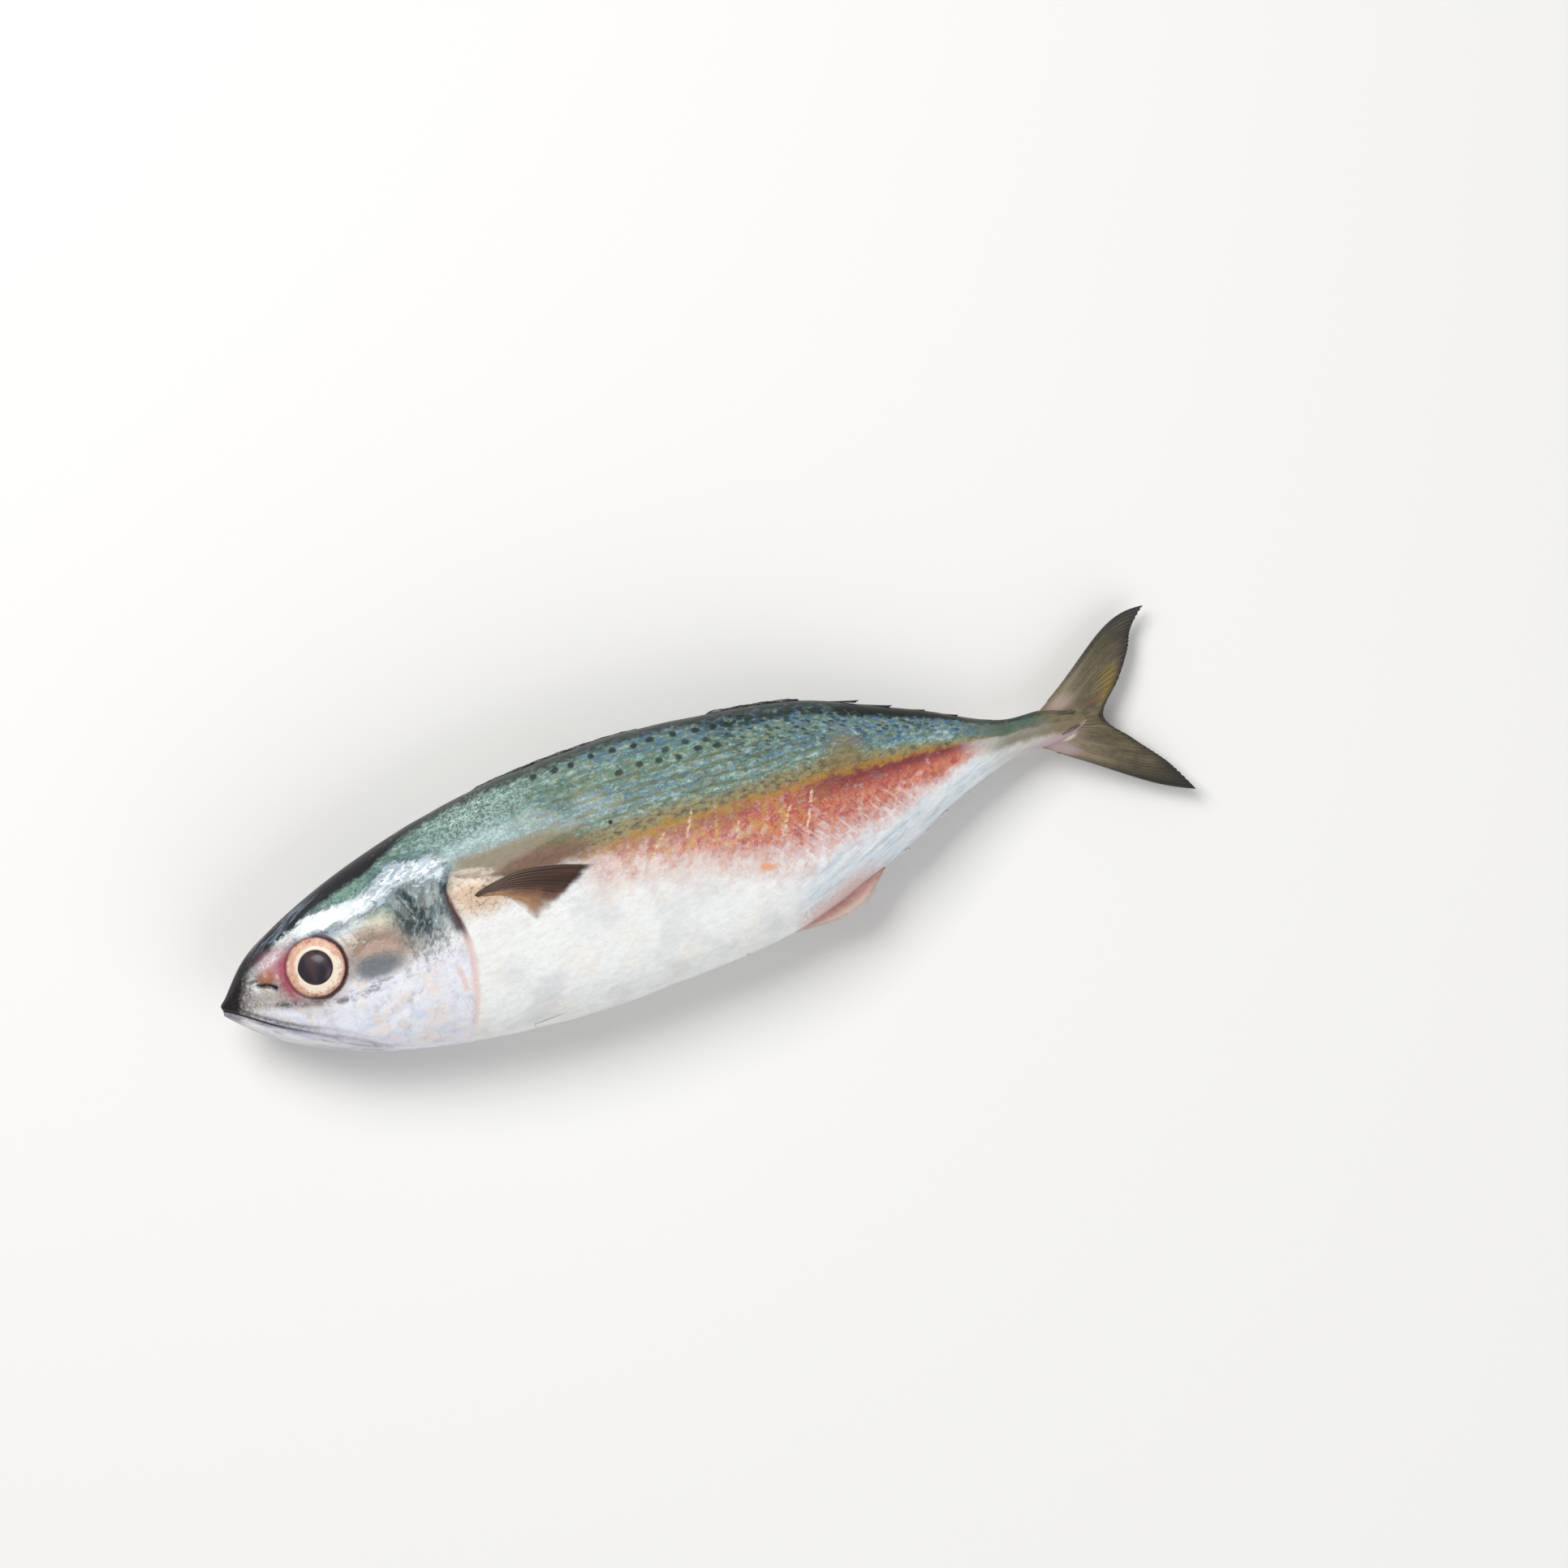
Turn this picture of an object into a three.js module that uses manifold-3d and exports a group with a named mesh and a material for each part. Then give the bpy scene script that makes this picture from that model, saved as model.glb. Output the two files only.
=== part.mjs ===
// A whole raw mackerel lying on its right flank, in millimetres.
// x runs from the snout to the tail, y from the belly to the back and z up through the left flank.
// The body is lofted through oval sections. The fins are fans of rays that are fused on,
// and the mouth, the gill cover, the nostrils and the eye rims are grooves cut into the skin.

import * as THREE from 'three';
import { LoftGeometry } from 'three/addons/geometries/LoftGeometry.js';
import { mergeVertices } from 'three/addons/utils/BufferGeometryUtils.js';
import Module from 'manifold-3d';

const wasm = await Module();
wasm.setup();

// Driving dimensions

// Knots are pairs of a distance from the snout and a size there.
const BACK = [
	[0, 0.1], [10, 10.9], [22, 17.9], [45, 27.2], [80, 36.2], [110, 39.8], [140, 40.1],
	[170, 37.1], [195, 32.3], [225, 19.5], [250, 8], [264, 6.6], [270, 4.6], [275, 1.6],
];
const BELLY = [
	[0, -2.7], [10, -12.1], [25, -21.5], [50, -30], [80, -35.2], [110, -37.2], [145, -35.7],
	[170, -33.5], [205, -22.2], [235, -9.1], [252, -4], [264, -4.6], [270, -3.6], [275, -0.8],
];
const HALF_THICKNESS = [
	[0, 1.5], [10, 7], [25, 12.2], [42, 16], [62, 19], [85, 21], [110, 21.9], [135, 21.6],
	[165, 18.9], [195, 14.2], [225, 8.8], [252, 4.6], [264, 3.4], [270, 2.1], [275, 0.9],
];
const DROOP = [[0, 0], [150, 0], [200, -1.6], [240, -5.6], [270, -10.4], [305, -17]];

const BODY_LENGTH = 275;
const BODY_STATIONS = 54;
const BODY_SIDES = 36;
const FLANK_FULLNESS = 2.25;
const REST_LEVEL = -20.9;

const EYE = { x: 31.3, y: 2.4, radius: 9.2, socket: 9.8, half: 2.7, sunk: 1.4 };
const DEEP_CUT = 1.1;
const SHALLOW_CUT = 0.45;

const FIRST_DORSAL = [
	{ from: 91.5, to: 103.5, rise: 0.9 },
	{ from: 103.8, to: 144, rise: 1.5 },
];
const SECOND_DORSAL = { from: 166, to: 194.5, rise: 2.2 };
const FIN_BLADE_HALF = 0.9;

const FINLETS = 5;
const BACK_FINLET = { first: 201, pitch: 10, length: 10, rise: 1.3 };
const BELLY_FINLET = { first: 205, pitch: 8, length: 7, rise: 1.1 };

// Small measuring functions

// A smooth curve through the knots, held level past both ends.
function curveThrough(knots) {
	const places = new Float32Array(knots.map((knot) => knot[0]));
	const sizes = new Float32Array(knots.map((knot) => knot[1]));
	const interpolant = new THREE.CubicInterpolant(places, sizes, 1);
	return (x) => interpolant.evaluate(x)[0];
}

const backAt = curveThrough(BACK);
const bellyAt = curveThrough(BELLY);
const thicknessAt = curveThrough(HALF_THICKNESS);
const droopAt = curveThrough(DROOP);

// The height of a flank's skin above the middle plane of the fish, at a place seen from the side.
function skinAt(x, y) {
	const middle = (backAt(x) + bellyAt(x)) / 2;
	const half = (backAt(x) - bellyAt(x)) / 2;
	const level = Math.min(Math.abs((y - middle) / half), 1);
	return thicknessAt(x) * (1 - level ** FLANK_FULLNESS) ** (1 / FLANK_FULLNESS);
}

// The same point with the sag of the tail added.
function sagged(x, y, z) {
	return new THREE.Vector3(x, y, z + droopAt(x));
}

// Solids

// Turns a closed geometry into a solid: shared corners are merged and empty triangles dropped.
function solidOf(geometry) {
	const plain = new THREE.BufferGeometry();
	plain.setAttribute('position', geometry.attributes.position);
	plain.setIndex(geometry.index);
	const merged = mergeVertices(plain);
	const corners = [];
	for (let i = 0; i < merged.index.count; i += 3) {
		const a = merged.index.getX(i);
		const b = merged.index.getX(i + 1);
		const c = merged.index.getX(i + 2);
		if (a !== b && b !== c && c !== a) corners.push(a, b, c);
	}
	const mesh = new wasm.Mesh({
		numProp: 3,
		vertProperties: merged.attributes.position.array,
		triVerts: new Uint32Array(corners),
	});
	return new wasm.Manifold(mesh);
}

function geometryOf(solid) {
	const mesh = solid.getMesh();
	const geometry = new THREE.BufferGeometry();
	geometry.setAttribute('position', new THREE.BufferAttribute(mesh.vertProperties, 3));
	geometry.setIndex(new THREE.BufferAttribute(mesh.triVerts, 1));
	geometry.computeVertexNormals();
	return geometry;
}

// The body, with its skin moved inwards by a depth: 0 gives the outside.
function bodySolid(depth) {
	const sections = [];
	for (let i = 0; i <= BODY_STATIONS; i++) {
		const share = i / BODY_STATIONS;
		const eased = 0.45 * share ** 1.3 + 0.55 * (1 - Math.cos(Math.PI * share)) / 2;
		const x = BODY_LENGTH * eased;
		const middle = (backAt(x) + bellyAt(x)) / 2;
		const half = Math.max((backAt(x) - bellyAt(x)) / 2 - depth, 0.2);
		const thick = Math.max(thicknessAt(x) - depth, 0.2);
		const ring = [];
		for (let j = 0; j < BODY_SIDES; j++) {
			const angle = (j / BODY_SIDES) * 2 * Math.PI;
			const up = Math.sign(Math.cos(angle)) * Math.abs(Math.cos(angle)) ** (2 / FLANK_FULLNESS);
			const out = Math.sign(Math.sin(angle)) * Math.abs(Math.sin(angle)) ** (2 / FLANK_FULLNESS);
			ring.push(sagged(x, middle + half * up, thick * out));
		}
		sections.push(ring);
	}
	return solidOf(new LoftGeometry(sections, { capStart: true, capEnd: true }));
}

// A fan of rays between a root line and an outer edge. Both lines run from the back to the belly.
// bow is how far each ray bends sideways, most at the share bowPeak of its length,
// and faces gives the heights of the fan's two faces at a place.
function fanSolid({ root, edge, bow, bowPeak, rays, steps, faces }) {
	const rootLine = new THREE.SplineCurve(root.map((p) => new THREE.Vector2(...p)));
	const edgeLine = new THREE.SplineCurve(edge.map((p) => new THREE.Vector2(...p)));
	const bowPower = Math.log(0.5) / Math.log(bowPeak);
	const columns = rays * 2;
	const sections = [];
	for (let i = 0; i <= steps; i++) {
		const along = i / steps;
		const upper = [];
		const lower = [];
		for (let j = 0; j <= columns; j++) {
			const across = j / columns;
			const start = rootLine.getPoint(across);
			const end = edgeLine.getPoint(across);
			const place = start.clone().lerp(end, along);
			place.y += bow(across) * Math.sin(Math.PI * along ** bowPower);
			const atRim = i === 0 || i === steps || j === 0 || j === columns;
			const ridge = j % 2;
			const [top, bottom] = faces(place.x, place.y, along, atRim, ridge);
			upper.push(sagged(place.x, place.y, top));
			lower.push(sagged(place.x, place.y, bottom));
		}
		sections.push([...upper, ...lower.reverse()]);
	}
	return solidOf(new LoftGeometry(sections));
}

// Fins

// The forked tail: one fan from the upper leading edge round the fork to the lower one.
function tailFin() {
	const rootHalf = 1.7;
	const edgeHalf = 0.35;
	const rayHeight = 0.16;
	const curl = 2.2;
	return fanSolid({
		root: [[261, 6.4], [266, 3.4], [268.5, 0.2], [265.5, -2.6], [259, -4]],
		edge: [
			[302, 27.2], [296.3, 22], [293.6, 16.6], [288, 8.6], [280, -0.6],
			[286, -9.6], [291.5, -16.4], [296, -23], [299.6, -30.6],
		],
		bow: (across) => (across < 0.5 ? 4.4 * (1 - 2 * across) ** 1.5 : -1.7 * (2 * across - 1) ** 1.5),
		bowPeak: 0.68,
		rays: 14,
		steps: 6,
		faces: (x, y, along, atRim, ridge) => {
			const lift = curl * Math.max(0, (Math.abs(y) - 20) / 10) ** 2;
			const half = atRim ? 0 : rootHalf + (edgeHalf - rootHalf) * along ** 0.6 + rayHeight * ridge;
			return [lift + half, lift - half];
		},
	});
}

// A pectoral fin folded back against a flank: side is 1 for the left flank and -1 for the right.
function pectoralFin(side) {
	const rise = 0.75;
	const rayHeight = 0.3;
	const sunk = 0.7;
	return fanSolid({
		root: [[83.5, 8.6], [84.2, 7], [85.5, 5]],
		edge: [[120.5, 5.6], [114, 2.2], [107.5, -0.8], [101, -4.4], [92, -5.6]],
		bow: (across) => 3.2 * (1 - across) ** 1.4,
		bowPeak: 0.55,
		rays: 6,
		steps: 6,
		faces: (x, y, along, atRim, ridge) => {
			const skin = skinAt(x, y);
			const outer = skin + (atRim ? -0.05 : rise * (1 - 0.5 * along) + rayHeight * ridge);
			const inner = skin - (atRim ? 0.05 : sunk);
			return side > 0 ? [outer, inner] : [-inner, -outer];
		},
	});
}

// The anal fin, half spread below the belly.
function analFin() {
	const rootHalf = 0.9;
	const edgeHalf = 0.4;
	const rayHeight = 0.15;
	return fanSolid({
		root: [[197, -23.8], [189, -26.6], [180, -30], [170, -32.6]],
		edge: [[200.5, -27], [195, -31.6], [189, -34.2], [176, -34.4]],
		bow: () => 0,
		bowPeak: 0.5,
		rays: 8,
		steps: 3,
		faces: (x, y, along, atRim, ridge) => {
			const half = atRim ? 0 : rootHalf + (edgeHalf - rootHalf) * along + rayHeight * ridge;
			return [half, -half];
		},
	});
}

// A low blade that lies along the back or the belly: rise is how far it stands out of the edge.
function bladeSolid(from, to, edgeAt, heightAt, half, steps) {
	const root = 2.4;
	const sections = [];
	for (let i = 0; i <= steps; i++) {
		const along = i / steps;
		const x = from + (to - from) * along;
		const out = edgeAt(x) + heightAt(along);
		const inn = edgeAt(x) - Math.sign(heightAt(0.5)) * root;
		const high = Math.max(out, inn);
		const low = Math.min(out, inn);
		const shoulder = 0.3 * (high - low);
		sections.push([
			sagged(x, high, 0), sagged(x, high - shoulder, half),
			sagged(x, low + shoulder, half), sagged(x, low, 0),
			sagged(x, low + shoulder, -half), sagged(x, high - shoulder, -half),
		]);
	}
	return solidOf(new LoftGeometry(sections, { capStart: true, capEnd: true }));
}

// The fins that are folded down along the back.
function foldedDorsalFins() {
	const blades = [...FIRST_DORSAL, SECOND_DORSAL];
	return blades.map(({ from, to, rise }) => {
		const heightAt = (along) => rise * Math.min(1, 6 * along, 4 * (1 - along) + 0.35);
		return bladeSolid(from, to, backAt, heightAt, FIN_BLADE_HALF, 8);
	});
}

// Two rows of finlets, each low in front and standing off at its rear tip.
function finletRow({ first, pitch, length, rise }, edgeAt, side) {
	const row = [];
	for (let i = 0; i < FINLETS; i++) {
		const from = first + i * pitch;
		const size = 1 - 0.08 * i;
		const heightAt = (along) => side * rise * size * (0.15 + 0.85 * along ** 1.5);
		row.push(bladeSolid(from, from + length * size, edgeAt, heightAt, 0.5 * size, 3));
	}
	return row;
}

// A squashed ball, turned in the plane of the flank and set on it.
function lump({ x, y, z, long, wide, high, turn, lean, sides = 12 }) {
	const geometry = new THREE.SphereGeometry(1, sides, sides / 2);
	geometry.scale(long, wide, high);
	geometry.rotateY(lean ?? 0);
	geometry.rotateZ(turn ?? 0);
	geometry.translate(x, y, z);
	return solidOf(geometry);
}

// The pelvic fins, folded flat against the belly on both sides of its keel.
function pelvicFins() {
	const fin = { x: 97, y: bellyAt(97) + 0.9, long: 11, wide: 1.2, high: 2.4, turn: -0.05 };
	const offset = 3.4;
	return [lump({ ...fin, z: offset }), lump({ ...fin, z: -offset })];
}

// The scaly flap above the root of each pectoral fin.
function axillaryFlap(side) {
	const x = 90;
	const y = 12.4;
	return lump({ x, y, z: side * (skinAt(x, y) - 0.3), long: 7.4, wide: 2.2, high: 1.1, turn: -0.3 });
}

// Two short keels on each side of the tail's root.
function tailKeels() {
	const keels = [];
	for (const side of [1, -1]) {
		for (const [y, turn] of [[4.1, -0.16], [-1.8, 0.16]]) {
			keels.push(lump({ x: 268, y, z: side * 1.9 + droopAt(268), long: 4.6, wide: 0.6, high: 0.9, turn }));
		}
	}
	return keels;
}

// Eyes

function skinSlope(x, y) {
	const step = 3;
	return Math.atan2(skinAt(x + step, y) - skinAt(x - step, y), 2 * step);
}

// A flattened ball in its socket, with its front a little proud of the skin.
function eyeball(side) {
	return lump({
		x: EYE.x,
		y: EYE.y,
		z: side * (skinAt(EYE.x, EYE.y) - EYE.sunk),
		long: EYE.radius,
		wide: EYE.radius,
		high: EYE.half,
		sides: 24,
		lean: -side * skinSlope(EYE.x, EYE.y),
	});
}

// Grooves

// A shape pushed right through the fish from side to side.
function through(shape) {
	const reach = 60;
	const geometry = new THREE.ExtrudeGeometry(shape, { depth: 2 * reach, bevelEnabled: false, curveSegments: 12 });
	geometry.translate(0, 0, -reach);
	return solidOf(geometry);
}

// A band along a smooth line through the points, pointed at both ends.
function bandShape(points, width, steps) {
	const line = new THREE.SplineCurve(points.map((p) => new THREE.Vector2(...p)));
	const left = [];
	const right = [];
	for (let i = 0; i <= steps; i++) {
		const along = i / steps;
		const place = line.getPoint(along);
		const way = line.getTangent(along);
		const half = (width / 2) * Math.min(1, 0.2 + 5 * along, 0.2 + 5 * (1 - along));
		left.push(new THREE.Vector2(place.x - way.y * half, place.y + way.x * half));
		right.push(new THREE.Vector2(place.x + way.y * half, place.y - way.x * half));
	}
	return new THREE.Shape([...left, ...right.reverse()]);
}

function discShape(x, y, radius) {
	const shape = new THREE.Shape();
	shape.absarc(x, y, radius, 0, 2 * Math.PI);
	return shape;
}

function deepGrooves() {
	const mouth = bandShape([[-2, -0.4], [5, -4.6], [15, -11.4], [27, -17.8], [37, -21.9], [44, -26.4]], 0.8, 12);
	const gillSlit = bandShape(
		[[77.6, 17.4], [75.2, 12.5], [75.4, 7], [76.8, 0], [77.4, -8], [75.8, -17], [72.6, -26], [69, -32.5]], 1.2, 14,
	);
	const rearNostril = bandShape([[13, 2.6], [15.6, 1.8], [18.2, 0.3]], 1.1, 4);
	const frontNostril = bandShape([[11, 4], [12, 4.2], [13, 4]], 0.9, 3);
	const eyeSocket = discShape(EYE.x, EYE.y, EYE.socket);
	return [mouth, gillSlit, rearNostril, frontNostril, eyeSocket];
}

function shallowGrooves() {
	const cheek = bandShape([[62, 15], [65.4, 6], [65, -4], [60, -13], [50, -18.4], [42, -20.4]], 1, 12);
	const underEye = bandShape([[18, -5.6], [26, -7], [35, -9.4], [48, -9.2]], 0.8, 8);
	return [cheek, underEye];
}

// Cuts the shapes into the skin to one depth on both flanks.
function grooved(body, shapes, depth) {
	const core = bodySolid(depth);
	const cutters = shapes.map((shape) => through(shape).subtract(core));
	return cutters.reduce((left, cutter) => left.subtract(cutter), body);
}

// The whole fish

function wholeFish() {
	const carved = grooved(grooved(bodySolid(0), deepGrooves(), DEEP_CUT), shallowGrooves(), SHALLOW_CUT);
	const parts = [
		tailFin(),
		analFin(),
		...foldedDorsalFins(),
		...finletRow(BACK_FINLET, backAt, 1),
		...finletRow(BELLY_FINLET, bellyAt, -1),
		...pelvicFins(),
		...tailKeels(),
		...[1, -1].flatMap((side) => [pectoralFin(side), axillaryFlap(side), eyeball(side)]),
	];
	const joined = parts.reduce((fish, part) => fish.add(part), carved);
	const board = new THREE.BoxGeometry(2 * BODY_LENGTH, BODY_LENGTH, 20);
	board.translate(BODY_LENGTH / 2, 0, REST_LEVEL - 10);
	return joined.subtract(solidOf(board));
}

const geometry = geometryOf(wholeFish());
geometry.computeBoundingBox();
const centre = geometry.boundingBox.getCenter(new THREE.Vector3());
const skin = new THREE.MeshStandardMaterial({ color: 0xa9b8b6, roughness: 0.35, metalness: 0.1 });
const fish = new THREE.Mesh(geometry, skin);
fish.name = 'fish';
fish.position.set(-centre.x, -centre.y, -geometry.boundingBox.min.z);

const group = new THREE.Group();
group.add(fish);

export default group;
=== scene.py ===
# %% [markdown]
# # A whole raw mackerel, lying on its side
#
# The fish is built in one frame, in metres, around a solid that is loaded first.
# x runs from the snout to the tail, y from the belly to the back, and z up through
# the left flank. Sizes are read in millimetres along two directions: a distance from
# the snout, and a height above or below the line through the tip of the snout.

# %% Load the frame
import math

import bmesh
import bpy
import numpy as np
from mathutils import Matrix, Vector


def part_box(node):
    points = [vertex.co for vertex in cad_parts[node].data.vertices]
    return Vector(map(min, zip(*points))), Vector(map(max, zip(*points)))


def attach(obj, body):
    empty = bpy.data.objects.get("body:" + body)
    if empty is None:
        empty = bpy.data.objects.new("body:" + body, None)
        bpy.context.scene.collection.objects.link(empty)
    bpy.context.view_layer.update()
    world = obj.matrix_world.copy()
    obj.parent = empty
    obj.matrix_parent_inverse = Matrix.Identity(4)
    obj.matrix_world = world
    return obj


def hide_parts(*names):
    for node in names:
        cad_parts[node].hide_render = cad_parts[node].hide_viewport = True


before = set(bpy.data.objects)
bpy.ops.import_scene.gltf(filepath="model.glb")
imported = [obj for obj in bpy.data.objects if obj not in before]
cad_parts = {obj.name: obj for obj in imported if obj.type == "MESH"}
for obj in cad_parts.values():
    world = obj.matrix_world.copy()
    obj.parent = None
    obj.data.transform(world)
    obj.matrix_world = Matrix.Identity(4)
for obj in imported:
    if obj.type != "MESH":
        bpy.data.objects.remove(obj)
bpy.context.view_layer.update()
MM = 0.001

# %% [markdown]
# ## The three curves that make a fish
#
# A fish's body is a stack of ovals. Three smooth curves say how high, how low and how
# thick each oval is. A curve through a few knots is easy to read and to change, and it
# keeps the outline fair. A fourth curve lets the tail sag, because a limp fish's does.

# %% Curves of the body
BACK = (
    (0, 0.1), (10, 10.9), (22, 17.9), (45, 27.2), (80, 36.2), (110, 39.8), (140, 40.1),
    (170, 37.1), (195, 32.3), (225, 19.5), (250, 8), (264, 6.6), (270, 4.6), (275, 1.6),
)
BELLY = (
    (0, -2.7), (10, -12.1), (25, -21.5), (50, -30), (80, -35.2), (110, -37.2), (145, -35.7),
    (170, -33.5), (205, -22.2), (235, -9.1), (252, -4), (264, -4.6), (270, -3.6), (275, -0.8),
)
HALF_THICKNESS = (
    (0, 1.5), (10, 7), (25, 12.2), (42, 16), (62, 19), (85, 21), (110, 21.9), (135, 21.6),
    (165, 18.9), (195, 14.2), (225, 8.8), (252, 4.6), (264, 3.4), (270, 2.1), (275, 0.9),
)
DROOP = ((0, 0), (150, 0), (200, -1.6), (240, -5.6), (270, -10.4), (305, -17))
BODY_LENGTH = 275
FLANK_FULLNESS = 2.25
REST_LEVEL = -20.9


def through(knots, x):
    """A smooth curve through the knots: each slope is the mean of its two chords."""
    places, sizes = np.array(knots, float).T
    chords = np.diff(sizes) / np.diff(places)
    slopes = np.concatenate((chords[:1], (chords[1:] + chords[:-1]) / 2, chords[-1:]))
    x = np.clip(x, places[0], places[-1])
    i = np.clip(np.searchsorted(places, x, side="right") - 1, 0, len(places) - 2)
    gap = places[i + 1] - places[i]
    p = (x - places[i]) / gap
    start = (1 + 2 * p) * (1 - p) ** 2 * sizes[i] + p * (1 - p) ** 2 * gap * slopes[i]
    end = p**2 * (3 - 2 * p) * sizes[i + 1] - p**2 * (1 - p) * gap * slopes[i + 1]
    return start + end


def rise(value, low, high):
    """0 below low and 1 above high, smooth between. With low above high it falls."""
    p = np.clip((value - low) / (high - low), 0, 1)
    return p * p * (3 - 2 * p)


def hump(value, width):
    """A smooth bump, 1 where the value is 0 and near 0 at twice the width."""
    return np.exp(-((value / width) ** 2))


box_low, box_high = (np.array(corner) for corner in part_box("fish"))
keel = through(BELLY, np.linspace(0, BODY_LENGTH, 2000)).min()
SNOUT = box_low + np.array((0, -keel, -REST_LEVEL)) * MM
print("fish", np.round((box_high - box_low) / MM, 1), "mm, snout line at", np.round(SNOUT / MM, 2))


def placed(points):
    """Millimetres from the snout, as metres in the frame, with the tail's sag added."""
    points = np.array(points, float)
    points[..., 2] += through(DROOP, points[..., 0])
    return SNOUT + points * MM


def skin_height(s, t):
    """How far the flank's skin lies from the middle plane, at a place seen from the side."""
    back, belly = through(BACK, s), through(BELLY, s)
    level = np.clip(np.abs(t - (back + belly) / 2) / ((back - belly) / 2), 0, 1)
    return through(HALF_THICKNESS, s) * (1 - level**FLANK_FULLNESS) ** (1 / FLANK_FULLNESS)


# %% [markdown]
# ## Camera
#
# The picture was taken from straight above, with the fish turned so that its tail points
# up and to the right. A long lens far away keeps the sides parallel. The point of the
# fish that falls in the middle of the picture, and the width that the picture spans at
# the fish, fix where the camera hangs.

# %% Camera
PICTURE_SIDE = 1932
SNOUT_PIXEL = (273, 1241)
FORK_PIXEL = (1362, 878)
FISH_MM = 300
FISH_PIXELS = 1228
CAMERA_DISTANCE = 3.0
FILM_WIDTH = 36

mm_per_pixel = FISH_MM / FISH_PIXELS
turn = math.atan2(SNOUT_PIXEL[1] - FORK_PIXEL[1], FORK_PIXEL[0] - SNOUT_PIXEL[0])
across = (PICTURE_SIDE / 2 - SNOUT_PIXEL[0]) * mm_per_pixel
upwards = (SNOUT_PIXEL[1] - PICTURE_SIDE / 2) * mm_per_pixel
middle_s = across * math.cos(turn) + upwards * math.sin(turn)
middle_t = upwards * math.cos(turn) - across * math.sin(turn)

lens = bpy.data.cameras.new("camera")
lens.sensor_width = FILM_WIDTH
lens.lens = FILM_WIDTH * CAMERA_DISTANCE / (PICTURE_SIDE * mm_per_pixel * MM)
camera = bpy.data.objects.new("camera", lens)
bpy.context.collection.objects.link(camera)
camera.location = SNOUT + np.array((middle_s * MM, middle_t * MM, CAMERA_DISTANCE))
camera.rotation_euler = (0, 0, -turn)
bpy.context.scene.camera = camera
print("lens", round(lens.lens, 1), "mm, turned", round(math.degrees(turn), 1), "degrees")

# %% [markdown]
# ## Floor and light
#
# Fresh fish looks wet because broad soft lamps mirror in its skin. One large lamp on the
# side of the back gives the soft shadow under the belly and a wet gloss on the brow; the
# pale sheen on the brow is painted into the skin, part silver and part painted highlight.
# A bright even surrounding fills the shadow.

# %% Floor, lamps and surroundings
FLOOR_SIDE = 6
FLOOR_COLOUR = (0.84, 0.835, 0.825, 1)
SURROUNDING_COLOUR = (1, 1, 1, 1)
SURROUNDING_STRENGTH = 0.38


def stage_floor():
    """A pale matt plane at the level the fish lies on."""
    mesh = bpy.data.meshes.new("floor")
    half = FLOOR_SIDE / 2
    square = ((-half, -half), (half, -half), (half, half), (-half, half))
    corners = [(x, y, box_low[2]) for x, y in square]
    mesh.from_pydata(corners, [], [(0, 1, 2, 3)])
    paint = bpy.data.materials.new("floor")
    paint.use_nodes = True
    surface = paint.node_tree.nodes["Principled BSDF"]
    surface.inputs["Base Color"].default_value = FLOOR_COLOUR
    surface.inputs["Roughness"].default_value = 0.9
    mesh.materials.append(paint)
    floor = bpy.data.objects.new("floor", mesh)
    bpy.context.collection.objects.link(floor)


def hang_lamp(name, place, side, power, colour=(1, 1, 1)):
    """A square lamp aimed at the middle of the fish."""
    data = bpy.data.lights.new(name, "AREA")
    data.shape = "SQUARE"
    data.size = side
    data.energy = power
    data.color = colour
    lamp = bpy.data.objects.new(name, data)
    bpy.context.collection.objects.link(lamp)
    lamp.location = place
    lamp.rotation_euler = (-Vector(place)).to_track_quat("-Z", "Y").to_euler()


stage_floor()
hang_lamp("key", (-0.4, 0.85, 1.35), 0.9, 20.5, (1, 0.99, 0.97))
hang_lamp("fill", (0.5, -1.1, 0.9), 1.4, 8.5, (0.97, 0.985, 1))
world = bpy.data.worlds.new("surroundings")
bpy.context.scene.world = world
world.use_nodes = True
world.node_tree.nodes["Background"].inputs["Color"].default_value = SURROUNDING_COLOUR
world.node_tree.nodes["Background"].inputs["Strength"].default_value = SURROUNDING_STRENGTH
bpy.context.scene.view_settings.view_transform = "Standard"

# %% [markdown]
# ## A way to write materials as sums
#
# A material is a web of nodes. Written node by node it is long and hard to read, so a
# small class wraps a socket and lets it be added and multiplied like a number. Every
# other node comes from one method that takes its type, its settings and its sockets.

# %% Sockets that add and multiply
def moist(colour, rough, film, film_rough, **other):
    """The sockets of a moist surface: its colour and gloss, and the clear film over it."""
    values = {"Base Color": colour, "Roughness": rough}
    values |= {"Coat Weight": film, "Coat Roughness": film_rough}
    names = {"gleam": "Specular IOR Level", "solid": "Alpha"}
    return values | {names[name]: value for name, value in other.items()}


class Reading:
    """One value on a material's surface, which can be used in sums."""

    def __init__(self, finish, socket):
        self.finish = finish
        self.socket = socket

    def __add__(self, other):
        return self.finish.maths("ADD", self, other)

    def __sub__(self, other):
        return self.finish.maths("SUBTRACT", self, other)

    def __rsub__(self, other):
        return self.finish.maths("SUBTRACT", other, self)

    def __mul__(self, other):
        return self.finish.maths("MULTIPLY", self, other)

    def __truediv__(self, other):
        return self.finish.maths("DIVIDE", self, other)

    __radd__ = __add__
    __rmul__ = __mul__


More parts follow.
